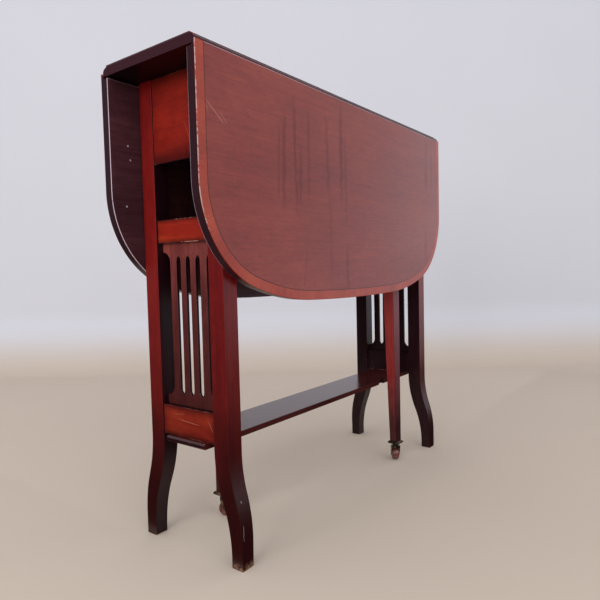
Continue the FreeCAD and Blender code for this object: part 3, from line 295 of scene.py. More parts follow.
# How wood is polished: the range of roughness, the specular level and the bump. Worn is the pale wood under
# the polish, then the colours of the painted shade towards the floor and along the borders of a face, and fleck
# is old paint.
# footWear is the bare wood of the feet: none at the first footHeight, full at the second.
polish = {"rough": (0.24, 0.40), "specular": 0.35, "bump": 0.00006, "worn": (0.52, 0.27, 0.20),
          "floorShade": (0.018, 0.0012, 0.0014), "borderShade": (0.030, 0.0020, 0.0016), "footWear": (0.20, 0.105, 0.060),
          "footHeight": (0.012, 0.001), "fleck": (0.62, 0.55, 0.50)}


# Turned so that the pattern's X follows the grain: along x, y or z of the table, or across a map.
grainTurns = {"x": (0, 0, 0), "y": (0, 0, -math.pi / 2), "z": (0, math.pi / 2, 0), "uv": (0, 0, -math.pi / 2)}


# Pale scratches and dark stains, and dark streaks that are partly painted shade: the middle, the heading of the
# face, the slope, half length, half width, colour and strength.
def layMarks(tree, colour, place, marks):
    for centre, heading, slope, reach, width, shade, strength in marks:
        mark = useGroup(tree, markGroup, {
            "Place": place, "Centre": centre, "Turn": (0, -math.radians(slope), math.radians(heading)),
            "Reach": reach, "Width": width})
        colour = cover(tree, colour, mark["Mask"], strength, shade)
    return colour


# A polished wood. grain is the axis the grain follows, or "uv" for a pattern on the piece's own map. wear and
# foot say how much is rubbed bare, flecks how many specks show, and gloss divides the roughness.
def wood(name, tones, grain="x", wear=0.0, flecks=0.04, gloss=1.0, figure=1.0, stripe=1.0, marks=(),
         floorShade=None, borderShade=None, foot=0.0, specular=None, worn=None):
    material, tree, shader = newMaterial(name)
    where = put(tree, "TexCoord")
    own = where.outputs["Object"]
    place = where.outputs["UV"] if grain == "uv" else own
    along = put(tree, "Mapping", {"Vector": place, "Rotation": grainTurns[grain]}).outputs[0]
    dark, mid, light, end = (rgba(tone) for tone in woods[tones])
    made = useGroup(tree, grainGroup, {
        "Place": along, "Dark": dark, "Mid": mid, "Light": light, "Figure": figure, "Stripe": stripe})
    colour = made["Colour"]
    if grain != "uv":
        facing = put(tree, "SeparateXYZ", {0: where.outputs["Normal"]}).outputs["xyz".index(grain)]
        endGrain = ease(tree, maths(tree, "ABSOLUTE", facing), 0.55, 0.9)
        colour = blendColour(tree, endGrain, colour, end)
    # Painted shade: darker towards the floor.
    if floorShade:
        floorShading = useGroup(tree, floorShadeGroup, {"Place": own, "Low": floorShade[0], "High": floorShade[1]})
        colour = cover(tree, colour, floorShading["Mask"], floorShade[2], polish["floorShade"])
    # Painted shade: darker along the borders of the face.
    if borderShade:
        edge = useGroup(tree, borderShadeGroup, {"Place": where.outputs["UV"], "Ragged": own, "Reach": borderShade[0]})
        colour = cover(tree, colour, edge["Mask"], borderShade[1], polish["borderShade"])
    colour = layMarks(tree, colour, own, marks)
    fleck = useGroup(tree, fleckGroup, {"Place": own, "Share": flecks})
    colour = cover(tree, colour, fleck["Mask"], 0.8, polish["fleck"])
    bright, dull = polish["rough"]
    rough = maths(tree, "MULTIPLY_ADD", made["Dullness"], (dull - bright) / gloss, bright / gloss)
    if wear > 0:
        rubbed = useGroup(tree, wearGroup, {"Place": own, "Amount": wear})
        colour = blendColour(tree, rubbed["Mask"], colour, rgba(worn or polish["worn"]))
        rough = maths(tree, "MULTIPLY_ADD", rubbed["Mask"], 0.2, rough)
    if foot > 0:
        height = put(tree, "SeparateXYZ", {0: own}).outputs[2]
        low = ease(tree, height, *polish["footHeight"])
        scuffs = useGroup(tree, wearGroup, {"Place": own, "Amount": foot})
        colour = cover(tree, colour, low, scuffs["Mask"], polish["footWear"])
    bump = put(tree, "Bump", {"Height": made["Height"], "Distance": polish["bump"], "Strength": 0.6})
    feed(tree, shader, {"Base Color": colour, "Roughness": rough, "Normal": bump.outputs[0],
                        "Specular IOR Level": polish["specular"] if specular is None else specular})
    return material


# Metal with handling marks: bright where rubbed, brown in the pits.
def metal(name, bright, tarnish, rough, worn=0.5):
    material, tree, shader = newMaterial(name)
    place = put(tree, "TexCoord").outputs["Object"]
    cloud = put(tree, "TexNoise", {"Vector": place, "Scale": 140.0, "Detail": 5.0, "Roughness": 0.6})
    pits = put(tree, "TexNoise", {"Vector": place, "Scale": 900.0, "Detail": 2.0})
    share = ease(tree, cloud.outputs[0], 0.62 - worn * 0.3, 0.82 - worn * 0.3)
    colour = blendColour(tree, share, rgba(tarnish), rgba(bright))
    bump = put(tree, "Bump", {"Height": pits.outputs[0], "Distance": 0.0001, "Strength": 0.5})
    feed(tree, shader, {"Base Color": colour, "Roughness": maths(tree, "MULTIPLY_ADD", share, -0.15, rough),
                        "Normal": bump.outputs[0], "Metallic": 1.0})
    return material


# The colours of the marks. The streaks on the leaf are darker polish, painted darker still as painted shade
# where the leaf's sheen is missing.
paleMark, dullStreak, deepCut = (0.52, 0.30, 0.25), (0.125, 0.003, 0.000), (0.030, 0.006, 0.007)
chip, scratch, dust = (0.62, 0.55, 0.58), (0.50, 0.20, 0.12), (0.8, 0.78, 0.8)
leafMarks = [
    ((-0.337, 0, 0.607), 0, -38, 0.025, 0.0006, paleMark, 0.75),
    ((-0.322, 0, 0.602), 0, -44, 0.011, 0.0005, paleMark, 0.60),
    ((-0.352, 0, 0.612), 0, -70, 0.012, 0.0005, paleMark, 0.45),
    ((-0.152, 0, 0.408), 0, 79, 0.038, 0.0010, deepCut, 0.75),
    ((-0.212, 0, 0.560), 0, 87, 0.060, 0.0035, dullStreak, 0.55),
    ((-0.200, 0, 0.567), 0, 88, 0.085, 0.0060, dullStreak, 0.70),
    ((-0.172, 0, 0.575), 0, 91, 0.105, 0.0055, dullStreak, 0.75),
    ((-0.160, 0, 0.545), 0, 88, 0.060, 0.0060, dullStreak, 0.60),
    ((-0.138, 0, 0.585), 0, 89, 0.085, 0.0045, dullStreak, 0.60),
    ((-0.087, 0, 0.590), 0, 91, 0.080, 0.0070, dullStreak, 0.55),
    ((-0.080, 0, 0.470), 0, 90, 0.090, 0.0060, dullStreak, 0.35),
    ((-0.045, 0, 0.600), 0, 89, 0.100, 0.0075, dullStreak, 0.75),
    ((-0.032, 0, 0.560), 0, 90, 0.085, 0.0050, dullStreak, 0.60),
    ((-0.030, 0, 0.405), 0, 90, 0.045, 0.0070, dullStreak, 0.60),
    ((0.298, 0, 0.625), 0, 89, 0.070, 0.0080, dullStreak, 0.65),
    ((0.325, 0, 0.620), 0, 90, 0.050, 0.0060, dullStreak, 0.45),
    ((0.292, 0, 0.450), 0, 90, 0.045, 0.0080, dullStreak, 0.50),
]
railMarks = [
    ((0, -0.002, 0.190), 90, 4, 0.026, 0.0006, scratch, 0.60),
    ((0, -0.046, 0.190), 90, 62, 0.010, 0.0006, scratch, 0.60),
    ((0, 0.020, 0.199), 90, -8, 0.014, 0.0005, scratch, 0.45),
    ((0, -0.020, 0.600), 90, 68, 0.022, 0.0006, (0.42, 0.12, 0.07), 0.50),
]
legMarks = [
    ((-0.311, 0, 0.055), 0, 84, 0.008, 0.0006, chip, 0.45),
    ((-0.312, 0, 0.046), 0, 95, 0.006, 0.0005, chip, 0.30),
    ((-0.307, 0, 0.092), 0, 90, 0.0020, 0.0007, chip, 0.70),
]
dustMarks = [((x, 0, z), 0, 90, 0.0016, 0.0016, dust, 1.0)
             for x, z in ((-0.338, 0.592), (-0.334, 0.572), (-0.344, 0.504), (-0.312, 0.472))]
# The painted shade towards the floor is full up to its first height and gone at its second; the third number is
# its strength.
legFloorShade, gateFloorShade = (0.05, 0.43, 0.97), (0.03, 0.24, 0.92)
railFloorShade, splatFloorShade = (0.05, 0.44, 0.62), (0.22, 0.50, 0.75)
# The painted shade along the borders of the rails: how far in it reaches, and its strength.
railBorderShade = (0.26, 0.80)    # reach and strength
# The leaves' eased arrises are pale lilac: partly wear, partly a painted highlight.
paleWearAndGlint = (0.60, 0.48, 0.56)
materials = {
    "legs": wood("polishedLegs", "legs", "z", flecks=0.05, floorShade=legFloorShade, foot=0.55),
    "cornerLeg": wood("frontCornerLeg", "legs", "z", flecks=0.05, floorShade=legFloorShade, marks=legMarks, foot=0.75),
    "legArris": wood("wornLegArris", "legs", "z", wear=0.12, floorShade=legFloorShade, foot=0.80),
    "litGateLegs": wood("litPolishedGateLegs", "gates", "z", floorShade=gateFloorShade),
    "shadedGateSides": wood("shadedGateLegSides", "shadedGateSides", "z", floorShade=gateFloorShade),
    "inside": wood("shadedInside", "inside", "z", flecks=0.10, specular=0.22),
    "rails": wood("polishedRails", "rails", "y", figure=1.5, stripe=0.5, floorShade=railFloorShade, borderShade=railBorderShade),
    "leftRails": wood("scratchedRails", "rails", "y", figure=1.5, stripe=0.5, floorShade=railFloorShade,
                      marks=railMarks, borderShade=railBorderShade),
    "railArris": wood("wornRailArris", "rim", "y", wear=0.62),
    "frontLeaf": wood("markedLeaf", "leaves", "x", figure=0.6, stripe=0.8, marks=leafMarks, specular=0.5),
    "leaves": wood("polishedLeaves", "leaves", "x", figure=0.6, stripe=0.8, specular=0.5),
    "leafArris": wood("wornGlintLeafArris", "rim", "x", wear=0.95, specular=0.5, worn=paleWearAndGlint),
    "leafInside": wood("leafUnderside", "leafInside", "x", flecks=0.16, specular=0.25),
    "backInside": wood("dustyUnderside", "leafInside", "x", flecks=0.16, marks=dustMarks, specular=0.25),
    "topArris": wood("wornTopArris", "rim", "x", wear=0.30, specular=0.15),
    "topRim": wood("topRim", "topRim", "x", flecks=0.25, specular=0.12),
    "topUnder": wood("topUnderside", "hidden", "x", flecks=0.10, specular=0.15),
    "rim": wood("boardRim", "rim", "x", flecks=0.25, specular=0.3),
    "banding": wood("crossbandVeneer", "banding", "uv", flecks=0.02, specular=0.5),
    "bandArris": wood("wornBandArris", "banding", "uv", wear=0.78, flecks=0.02, specular=0.5,
                      worn=(0.50, 0.29, 0.26)),
    "topBand": wood("endCrossbandVeneer", "banding", "x", flecks=0.02, specular=0.5),
    "stringing": wood("stringingLine", "string", "x", flecks=0.0, specular=0.4),
    "splats": wood("polishedSplats", "splats", "z", floorShade=splatFloorShade),
    "splatArris": wood("wornSplatArris", "splats", "z", wear=0.30, floorShade=splatFloorShade),
    "stretcher": wood("polishedStretcher", "stretcher", "x", gloss=2.0, specular=0.52),
    "stretcherSide": wood("stretcherSide", "stretcher", "x", specular=0.15),
    "stretcherArris": wood("wornStretcherArris", "stretcher", "x", wear=0.5, specular=0.5),
    "hidden": wood("innerTimber", "hidden", "x", gloss=0.6, flecks=0.08, specular=0.15),
    "brass": metal("agedBrass", (0.30, 0.20, 0.11), (0.055, 0.045, 0.032), 0.42),
    "iron": metal("blackIron", (0.16, 0.14, 0.13), (0.035, 0.025, 0.022), 0.55, 0.35),
    "steel": metal("wornSteel", (0.38, 0.36, 0.33), (0.12, 0.09, 0.07), 0.42),
    "wheel": wood("polishedWheel", "wheel", "z", gloss=3.0, specular=0.7, flecks=0.0),
}
print("materials made:", len(materials))


# Clearing would also reset the faces' finishes, so a new mesh is left as it is.
def dress(obj, *names):
    if obj.data.materials:
        obj.data.materials.clear()
    for name in names:
        obj.data.materials.append(materials[name])


def linked(name, data):
    obj = bpy.data.objects.new(name, data)
    bpy.context.scene.collection.objects.link(obj)
    return obj


def addObject(mesh, body, replaces):
    obj = linked(mesh.name, mesh)
    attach(obj, body)
    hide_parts(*replaces)
    return obj


# One row for each of a mesh's vertices, edges, faces or loops.
def readRows(members, key, width, kind=float):
    rows = np.empty(len(members) * width, kind)
    members.foreach_get(key, rows)
    return rows.reshape(-1, width)


def newMesh(name, spots, faces):
    mesh = bpy.data.meshes.new(name)
    mesh.from_pydata(spots.reshape(-1, 3).tolist(), [], faces)
    return mesh


# A map of the mesh, from the place of each vertex in the pattern.
def layMap(mesh, name, chart):
    corner = readRows(mesh.loops, "vertex_index", 1, np.int32)[:, 0]
    mesh.uv_layers.new(name=name).data.foreach_set("uv", chart[corner].astype(np.float32).ravel())


def outward(mesh):
    fixed = bmesh.new()
    fixed.from_mesh(mesh)
    bmesh.ops.recalc_face_normals(fixed, faces=fixed.faces)
    fixed.to_mesh(mesh)
    fixed.free()
    mesh.update()


# Quads from each near ring of points to its far one, all the way round.
def bridge(near, far):
    return np.stack([near, np.roll(near, -1, 1), np.roll(far, -1, 1), far], -1).reshape(-1, 4).tolist()


# The faces of a closed strip: each ring is joined to the next one, and both ends are capped.
def stripFaces(stations, around):
    index = np.arange(stations * around).reshape(stations, around)
    return bridge(index[:-1], index[1:]) + [index[0, ::-1].tolist(), index[-1].tolist()]


# A strip from rings of shape (stations, points round the section, 3). chart is the pattern's place for each
# point, kinds the finish of each section side.
def stripMesh(name, rings, chart, kinds):
    stations, around = rings.shape[:2]
    mesh = newMesh(name, rings, stripFaces(stations, around))
    finish = np.concatenate([np.broadcast_to(kinds, (stations - 1, around)).ravel(), [0, 0]])
    mesh.polygons.foreach_set("material_index", finish.astype(np.int32))
    layMap(mesh, "grainMap", chart.reshape(-1, 2))
    outward(mesh)
    return mesh


# Doubles nearer than weld are merged, faces that turn less than flatTurn are joined, and edges that turn more
# than edgeTurn are eased. The turns are in degrees.
copying = {"weld": 2e-6, "flatTurn": 0.6, "edgeTurn": 40}


# A merged copy of a CAD node with its edges rounded over: all of them, or those that pick chooses. pick gets
# the middles and directions of the edges as arrays, and gives back a mask. wornSlot is the eased edges' finish.
def easedCopy(node, width, wornSlot=1, segments=2, pick=None):
    mesh = nodes[node].data.copy()
    mesh.name = node + "_eased"
    work = bmesh.new()
    work.from_mesh(mesh)
    bmesh.ops.remove_doubles(work, verts=work.verts, dist=copying["weld"])
    flatTurn = math.radians(copying["flatTurn"])
    bmesh.ops.dissolve_limit(work, angle_limit=flatTurn, verts=work.verts, edges=work.edges)
    work.to_mesh(mesh)
    work.free()
    obj = linked(mesh.name, mesh)
    bevel = obj.modifiers.new("ease", "BEVEL")
    bevel.width = width
    bevel.segments = segments
    bevel.material = wornSlot
    bevel.use_clamp_overlap = True
    bevel.harden_normals = True
    bevel.limit_method = "ANGLE"
    bevel.angle_limit = math.radians(copying["edgeTurn"])
    if pick:
        bevel.limit_method = "WEIGHT"
        tips = readRows(mesh.vertices, "co", 3)[readRows(mesh.edges, "vertices", 2, np.int32)]
        along = tips[:, 1] - tips[:, 0]
        along /= np.linalg.norm(along, axis=1)[:, None]
        weight = mesh.attributes.new("bevel_weight_edge", "FLOAT", "EDGE")
        weight.data.foreach_set("value", pick(tips.mean(1), along).astype(np.float32))
    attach(obj, bodyOf[node])
    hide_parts(node)
    return obj


# Smooth over shallow angles, but for the wide flats, which stay truly flat in their reflections.
def smoothByAngle(obj, degrees=30, widest=0.003):
    faces = obj.data.polygons
    obj.data.set_sharp_from_angle(angle=math.radians(degrees))
    faces.foreach_set("use_smooth", readRows(faces, "area", 1)[:, 0] < widest)


# The finish of each face of a copy, from arrays of the faces' normals and middles. Finishes count from 0, in
# the order that dress is given them.
def finishFaces(obj, rule):
    faces = obj.data.polygons
    kinds = rule(readRows(faces, "normal", 3), readRows(faces, "center", 3))
    faces.foreach_set("material_index", kinds.astype(np.int32))


# Leaves: the outline is three tangent arcs each side of a straight edge, as lengths and turns in degrees.
# The inner arris is eased within sideWear of the ends and footWear of the bottom; skin is how deep the inner
# face goes. Steps are how finely the side and the three arcs are drawn.
leaf = {
    "bottomRadius": 3.700, "bottomTurn": 2.1, "shoulderRadius": 0.460, "shoulderTurn": 18.8,
    "band": 0.0142, "line": 0.0012, "veneer": 0.0008, "rubbed": 0.0003, "wornAbove": 0.455, "arris": 0.0015,
    "sideWear": 0.12, "footWear": 0.08, "skin": 0.0025, "steps": (8, 40, 16, 12),
}


# The leaf's edge from one hinge end to the other: points, outward normals and distance along it.
# A turn of 90 degrees is the straight side; smaller turns lie on the corner, shoulder and bottom arcs.
def leafEdge():
    foot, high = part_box("front_leaf")
    bottom, shoulder = leaf["bottomRadius"], leaf["shoulderRadius"]
    flat, steep = math.radians(leaf["bottomTurn"]), math.radians(leaf["shoulderTurn"])
    middleZ = foot.z + bottom
    shoulderX = (bottom - shoulder) * math.sin(flat)
    shoulderZ = middleZ - (bottom - shoulder) * math.cos(flat)
    corner = (high.x - shoulderX - shoulder * math.sin(steep)) / (1 - math.sin(steep))
    cornerX, cornerZ = high.x - corner, shoulderZ - (shoulder - corner) * math.cos(steep)
    sideSteps, cornerSteps, shoulderSteps, bottomSteps = leaf["steps"]
    turn = np.concatenate([np.linspace(math.pi / 2, steep, cornerSteps),
                           np.linspace(steep, flat, shoulderSteps)[1:], np.linspace(flat, 0, bottomSteps)[1:]])
    arcs = [turn >= steep, turn >= flat]
    centreX = np.select(arcs, [cornerX, shoulderX], 0.0)
    centreZ = np.select(arcs, [cornerZ, shoulderZ], middleZ)
    radius = np.select(arcs, [corner, shoulder], bottom)
    upright = np.stack([np.full(sideSteps, high.x), np.linspace(high.z, cornerZ, sideSteps + 1)[:-1]], 1)
    around = np.stack([np.sin(turn), -np.cos(turn)], 1)
    spot = np.concatenate([upright, np.stack([centreX, centreZ], 1) + radius[:, None] * around])
    out = np.concatenate([np.broadcast_to([1.0, 0.0], upright.shape), around])
    flip = np.array([-1, 1])    # the second half mirrors the first one
    spot, out = np.concatenate([spot, spot[-2::-1] * flip]), np.concatenate([out, out[-2::-1] * flip])
    far = np.concatenate([[0], np.cumsum(np.linalg.norm(np.diff(spot, axis=0), axis=1))])
    return spot, out, far


# A ribbon let into the leaf's face. Its section is a loop of (distance in from the edge, depth) points, and is
# carried along the edge: each point goes in against the outward normal, and down from the face.
def leafRibbon(side, name, section, kinds):
    spot, out, far = leafEdge()
    low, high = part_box(f"{side}_leaf_crossbanding")
    face = low.y if side == "front" else high.y
    section = np.array(section)
    flat = spot[:, None, :] - section[None, :, 0, None] * out[:, None, :]
    depth = np.broadcast_to(face - sides[side] * section[None, :, 1], flat.shape[:2])
    rings = np.stack([flat[..., 0], depth, flat[..., 1]], -1)
    along = np.broadcast_to(far[:, None], flat.shape[:2])
    across = np.broadcast_to(section[None, :, 0] + section[None, :, 1], flat.shape[:2])
    return stripMesh(f"{side}{name}", rings, np.stack([along, across], -1), kinds)


def makeLeaf(side):
    band, line, deep = leaf["band"], leaf["line"], leaf["veneer"]
    turn = np.linspace(0, math.pi / 2, 4)
    rounded = [(deep - deep * math.cos(t), deep - deep * math.sin(t)) for t in turn]
    section = [*rounded, (deep + leaf["rubbed"], 0), (band, 0), (band, deep)]
    spot = leafEdge()[0][:-1]
    rubbed = (spot[:, 0] < 0) & (spot[:, 1] > leaf["wornAbove"])
    kinds = np.where(rubbed[:, None], [1, 1, 1, 1, 0, 0, 0], 0)
    ribbon = addObject(leafRibbon(side, "Crossbanding", section, kinds), f"{side}_leaf_body",
                       [f"{side}_leaf_crossbanding"])
    dress(ribbon, "banding", "bandArris")
    section = [(band, deep), (band, 0), (band + line, 0), (band + line, deep)]
    thread = addObject(leafRibbon(side, "Stringing", section, [0] * 4), f"{side}_leaf_body",
                       [f"{side}_leaf_stringing"])
    dress(thread, "stringing")
    low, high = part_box(f"{side}_leaf")
    outer, inner = (low.y, high.y) if side == "front" else (high.y, low.y)

    def handled(middle, along):
        inside = abs(middle[:, 1] - inner) < touching
        rim = (abs(middle[:, 0]) > high.x - leaf["sideWear"]) | (middle[:, 2] < low.z + leaf["footWear"])
        hinged = (abs(middle[:, 1] - outer) < touching) & (middle[:, 2] > high.z - touching)
        return (inside & rim) | hinged

    def finish(normal, middle):
        flat = abs(normal[:, 1]) > square
        return np.select([flat & (abs(middle[:, 1] - inner) < leaf["skin"]), flat], [1, 0], 3)

    board = easedCopy(f"{side}_leaf", leaf["arris"], wornSlot=2, pick=handled)
    looks = ("frontLeaf", "leafInside") if side == "front" else ("leaves", "backInside")
    dress(board, *looks, "leafArris", "rim")
    finishFaces(board, finish)
    smoothByAngle(board)


for side in sides:
    makeLeaf(side)
print("leaves made")


# The fixed top: eased lips along its joints, down to lipDeep, and worn ends.
top = {"arris": 0.0007, "lipDeep": 0.003}


def makeTop():
    low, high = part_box("top_board")
    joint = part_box("top_crossbanding")[1].y

    def handled(middle, along):
        lip = (middle[:, 2] > high.z - top["lipDeep"]) & (abs(abs(middle[:, 1]) - joint) < touching)
        under = (abs(middle[:, 2] - low.z) < touching) & (abs(middle[:, 0]) > high.x - touching)
        return (lip & (abs(along[:, 0]) > square)) | under

    def finish(normal, middle):
        return np.select([normal[:, 2] < -square, normal[:, 2] > square], [1, 0], 3)

    board = easedCopy("top_board", top["arris"], wornSlot=2, pick=handled)
    dress(board, "leaves", "topUnder", "topArris", "topRim")
    finishFaces(board, finish)
    smoothByAngle(board)


makeTop()
print("top made")

# Legs, rails, splats and stretcher: the solids' shapes with handworn edges, as wide as easing says. Their faces
# towards the middle of the table and their undersides are duller, and on the legs, rails and splats painted
# near black as painted shade.
easing = {"legs": 0.0011, "rails": 0.0009, "splats": 0.0006, "stretcher": 0.0006, "gates": 0.0011}


# Its map runs from 0 to 1 across the piece's box, along Y and Z.
def frameTimber(node, width, finishes, rule):
    timber = easedCopy(node, width)
    dress(timber, *finishes)
    finishFaces(timber, rule)
    flat = readRows(timber.data.vertices, "co", 3)[:, 1:]
    layMap(timber.data, "borderMap", (flat - flat.min(0)) / (flat.max(0) - flat.min(0)))
    smoothByAngle(timber)


def makeFrame():
    for end, endSign in ends.items():
        for side, sideSign in sides.items():
            leg = "cornerLeg" if (end, side) == ("left", "front") else "legs"
            frameTimber(f"{end}_{side}_leg", easing["legs"], (leg, "legArris", "inside"),
                        lambda n, m: 2 * (n * (endSign, sideSign, 1) < -looking).any(1))
        polished = "leftRails" if end == "left" else "rails"
        for rail in ("end_apron", "mid_rail", "lower_rail"):
            frameTimber(f"{end}_{rail}", easing["rails"], (polished, "railArris", "inside"),
                        lambda n, m: 2 * (n[:, 0] * endSign < looking))
        frameTimber(f"{end}_splat", easing["splats"], ("splats", "splatArris", "inside"),
                    lambda n, m: 2 * (n[:, 0] * endSign < looking))
    frameTimber("stretcher", easing["stretcher"], ("stretcher", "stretcherArris", "stretcherSide"),
                lambda n, m: 2 * (n[:, 2] < looking))
    # Gate legs: the end faces take the lighter copy as painted light, the other faces the darker copy as
    # painted shade.
    for side in sides:
        frameTimber(f"{side}_gate_leg", easing["gates"], ("litGateLegs", "legArris", "shadedGateSides"),
                    lambda n, m: 2 * (abs(n[:, 0]) < looking))


makeFrame()
print("frame timbers eased")

# Casters: rounded brass plates and horns, and turned wheels with a hub, a dished side and a rounded tread.
# The underside of the horn's bridge is at the height bridge, give or take bridgeReach, and comes down by
# bridgeDrop to just over the wheel.
caster = {"width": 0.0145, "hub": 0.0036, "dish": 0.0011, "dishStart": 0.0048, "dishEnd": 0.0082,
          "round": 0.0042, "crown": 0.0004, "bore": 0.0016, "boreStep": 0.0003, "hubEase": 0.0006,
          "sideStep": 0.0002, "dishEase": 0.0012, "plateEase": 0.0008, "hornEase": 0.0004,
          "bridge": 0.028, "bridgeReach": 1e-4, "bridgeDrop": 0.0021}


# A profile of (distance along the axis, radius) turned round the axis: each point is the centre, plus its
# distance along the axis, plus its radius in the direction of the turn. The surface closes both ways.
def turnedMesh(name, profile, centre, axis, spokes=72):
    turn = np.linspace(0, 2 * math.pi, spokes, endpoint=False)
    forward = np.array(axis) / np.linalg.norm(axis)
    up = np.array([0.0, 0.0, 1.0])
    level = np.cross(forward, up)
    about = np.cos(turn)[:, None] * level + np.sin(turn)[:, None] * up
    spots = centre + profile[None, :, 0, None] * forward + profile[None, :, 1, None] * about[:, None, :]
    index = np.arange(spokes * len(profile)).reshape(spokes, -1)
    mesh = newMesh(name, spots, bridge(index, np.roll(index, -1, 0)))
    outward(mesh)
    return mesh


def makeCaster(side):
    plate = easedCopy(f"{side}_caster_plate", caster["plateEase"], segments=3)
    horn = easedCopy(f"{side}_caster_horn", caster["hornEase"])
    spots = readRows(horn.data.vertices, "co", 3)
    under = abs(spots[:, 2] - caster["bridge"]) < caster["bridgeReach"]
    spots[:, 2] -= caster["bridgeDrop"] * under
    horn.data.vertices.foreach_set("co", spots.ravel())
    for piece in (plate, horn):
        dress(piece, "brass", "brass")
        smoothByAngle(piece, degrees=40)
    low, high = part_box(f"{side}_caster_wheel")
    centre, radius = np.array((low + high) / 2), (high.z - low.z) / 2
    spin = next(joint for joint in frame["joints"] if joint["name"] == f"{side}_wheel_spin")
    half, soft, step = caster["width"] / 2, caster["round"], caster["sideStep"]
    turn = np.linspace(0, math.pi / 2, 7)
    tread = np.linspace(-1, 1, 9)[1:-1] * (half - soft)
    face = [(half - caster["boreStep"], caster["bore"]), (half, caster["hub"] - caster["hubEase"]),
            (half - step, caster["hub"]), (half - caster["dish"], caster["dishStart"]),
            (half - caster["dish"], caster["dishEnd"] - caster["dishEase"]), (half - step, caster["dishEnd"])]
    rim = np.stack([half - soft + soft * np.cos(turn), radius - soft + soft * np.sin(turn)], 1)
    rim[:, 1] -= caster["crown"] * np.sin(turn)
    right = np.concatenate([np.array(face), rim])
    middle = np.stack([tread, radius - caster["crown"] * (tread / (half - soft)) ** 2], 1)
    profile = np.concatenate([right * (-1, 1), middle, right[::-1]])
    wheel = addObject(turnedMesh(f"{side}TurnedWheel", profile, centre, spin["axis"]), f"{side}_wheel",
                      [f"{side}_caster_wheel"])
    dress(wheel, "wheel")
    smoothByAngle(wheel, degrees=40)


for side in sides:
    makeCaster(side)
print("casters made")

# Slotted screw heads, a little proud of the face that they hold. Heads are further apart than parted, rows are
# shares of the radius, and dome and domePower say how the face falls away to the rim.
screwHead = {"radius": 0.0034, "proud": 0.00015, "deep": 0.0006, "slot": 0.00045, "slotDeep": 0.0005,
             "slotWall": 5e-5, "parted": 0.006, "backing": 0.0002, "dome": 2.2, "domePower": 8,
             "rows": [-0.995, -0.94, -0.8, -0.6, -0.4, -0.2, 0.2, 0.4, 0.6, 0.8, 0.94, 0.995]}


# The middles of the heads that lie at one level of an axis: rims are told apart by the gaps between them.
def headCentres(node, axis, level):
    spots = readRows(nodes[node].data.vertices, "co", 3)
    groups = [spots[abs(spots[:, axis] - level) < touching]]
    for other in (a for a in range(3) if a != axis):
        parted = []
        for group in groups:
            group = group[np.argsort(group[:, other])]
            gaps = np.diff(group[:, other]) > screwHead["parted"]
            parted += np.split(group, np.flatnonzero(gaps) + 1)
        groups = parted
    return [(group.min(0) + group.max(0)) / 2 for group in groups]


# One head is rows of chords across a disc, sunk where a row lies in the slot, over a flat back.
# Every head is that grid turned to its own angle and set at its own place.
def makeScrews(node, body, heads):
    radius, slot, wall = screwHead["radius"], screwHead["slot"], screwHead["slotWall"]
    rows = np.array(screwHead["rows"]) * radius
    rows = np.sort(np.concatenate([rows, [-slot - wall, -slot, slot, slot + wall]]))
    share = np.sin(np.linspace(-1, 1, 9) * math.pi / 2)
    chord = np.sqrt(radius**2 - rows**2)[:, None] * share[None, :]
    reach = np.sqrt(chord**2 + rows[:, None] ** 2) / radius
    dome = screwHead["proud"] * (1 - screwHead["dome"] * reach ** screwHead["domePower"])
    face = dome - screwHead["slotDeep"] * (abs(rows[:, None]) <= slot)
    across = np.concatenate([chord, chord[:, ::-1]], 1)
    lift = np.concatenate([face, np.full_like(face, -screwHead["deep"] - screwHead["backing"])], 1)
    local = np.stack([across, np.broadcast_to(rows[:, None], across.shape), lift], -1)
    faces, points = stripFaces(*across.shape), across.size
    chance = np.random.default_rng(len(heads) + len(node))
    spots, joined = [], []
    for number, (centre, facing) in enumerate(heads):
        twist = Quaternion((0, 0, 1), chance.uniform(0, math.pi))
        turn = np.array((Vector(facing).to_track_quat("Z", "Y") @ twist).to_matrix())
        spots.append(local.reshape(-1, 3) @ turn.T + centre)
        joined += [[corner + number * points for corner in corners] for corners in faces]
    mesh = newMesh(f"{node}_slotted", np.concatenate(spots), joined)
    outward(mesh)
    screws = addObject(mesh, body, [node])
    dress(screws, "steel")
    smoothByAngle(screws, degrees=50)


def placeScrews():
    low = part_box("top_hinge_screws")[0]
    heads = [(c, (0, 0, -1)) for c in headCentres("top_hinge_screws", 2, low.z)]
    makeScrews("top_hinge_screws", "frame", heads)
    low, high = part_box("frame_screws")
    heads = [(c, (0, 0, -1)) for c in headCentres("frame_screws", 2, low.z)]
    for sign, level in ((-1, low.y), (1, high.y)):
        heads += [(c, (0, sign, 0)) for c in headCentres("frame_screws", 1, level)]
    makeScrews("frame_screws", "frame", heads)
    for side, sign in sides.items():
        node = f"{side}_leaf_hinge_screws"
        low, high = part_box(node)
        level = high.y if sign < 0 else low.y
        makeScrews(node, f"{side}_leaf_body", [(c, (0, -sign, 0)) for c in headCentres(node, 1, level)])


placeScrews()
print("screws made")

# The rest of the solids keep their meshes and take a finish.
# The pieces under the top take the near black hidden finish, as painted shade.
plainFinish = {"top_crossbanding": "topBand", "top_stringing": "stringing", "spacer_blocks": "hidden"}
for side in sides:
    for name in ("leaf_stop", "inner_rail", "fixed_rail", "fly_rail"):
        plainFinish[f"{side}_{name}"] = "hidden"
    for name in ("knuckle_pin", "caster_axle", "left_hinge_pin", "right_hinge_pin"):
        plainFinish[f"{side}_{name}"] = "steel"
    for end in ends:
        for flap in ("top", "leaf"):
            plainFinish[f"{side}_{end}_hinge_{flap}_flap"] = "iron"
for name, finish in plainFinish.items():
    dress(nodes[name], finish)


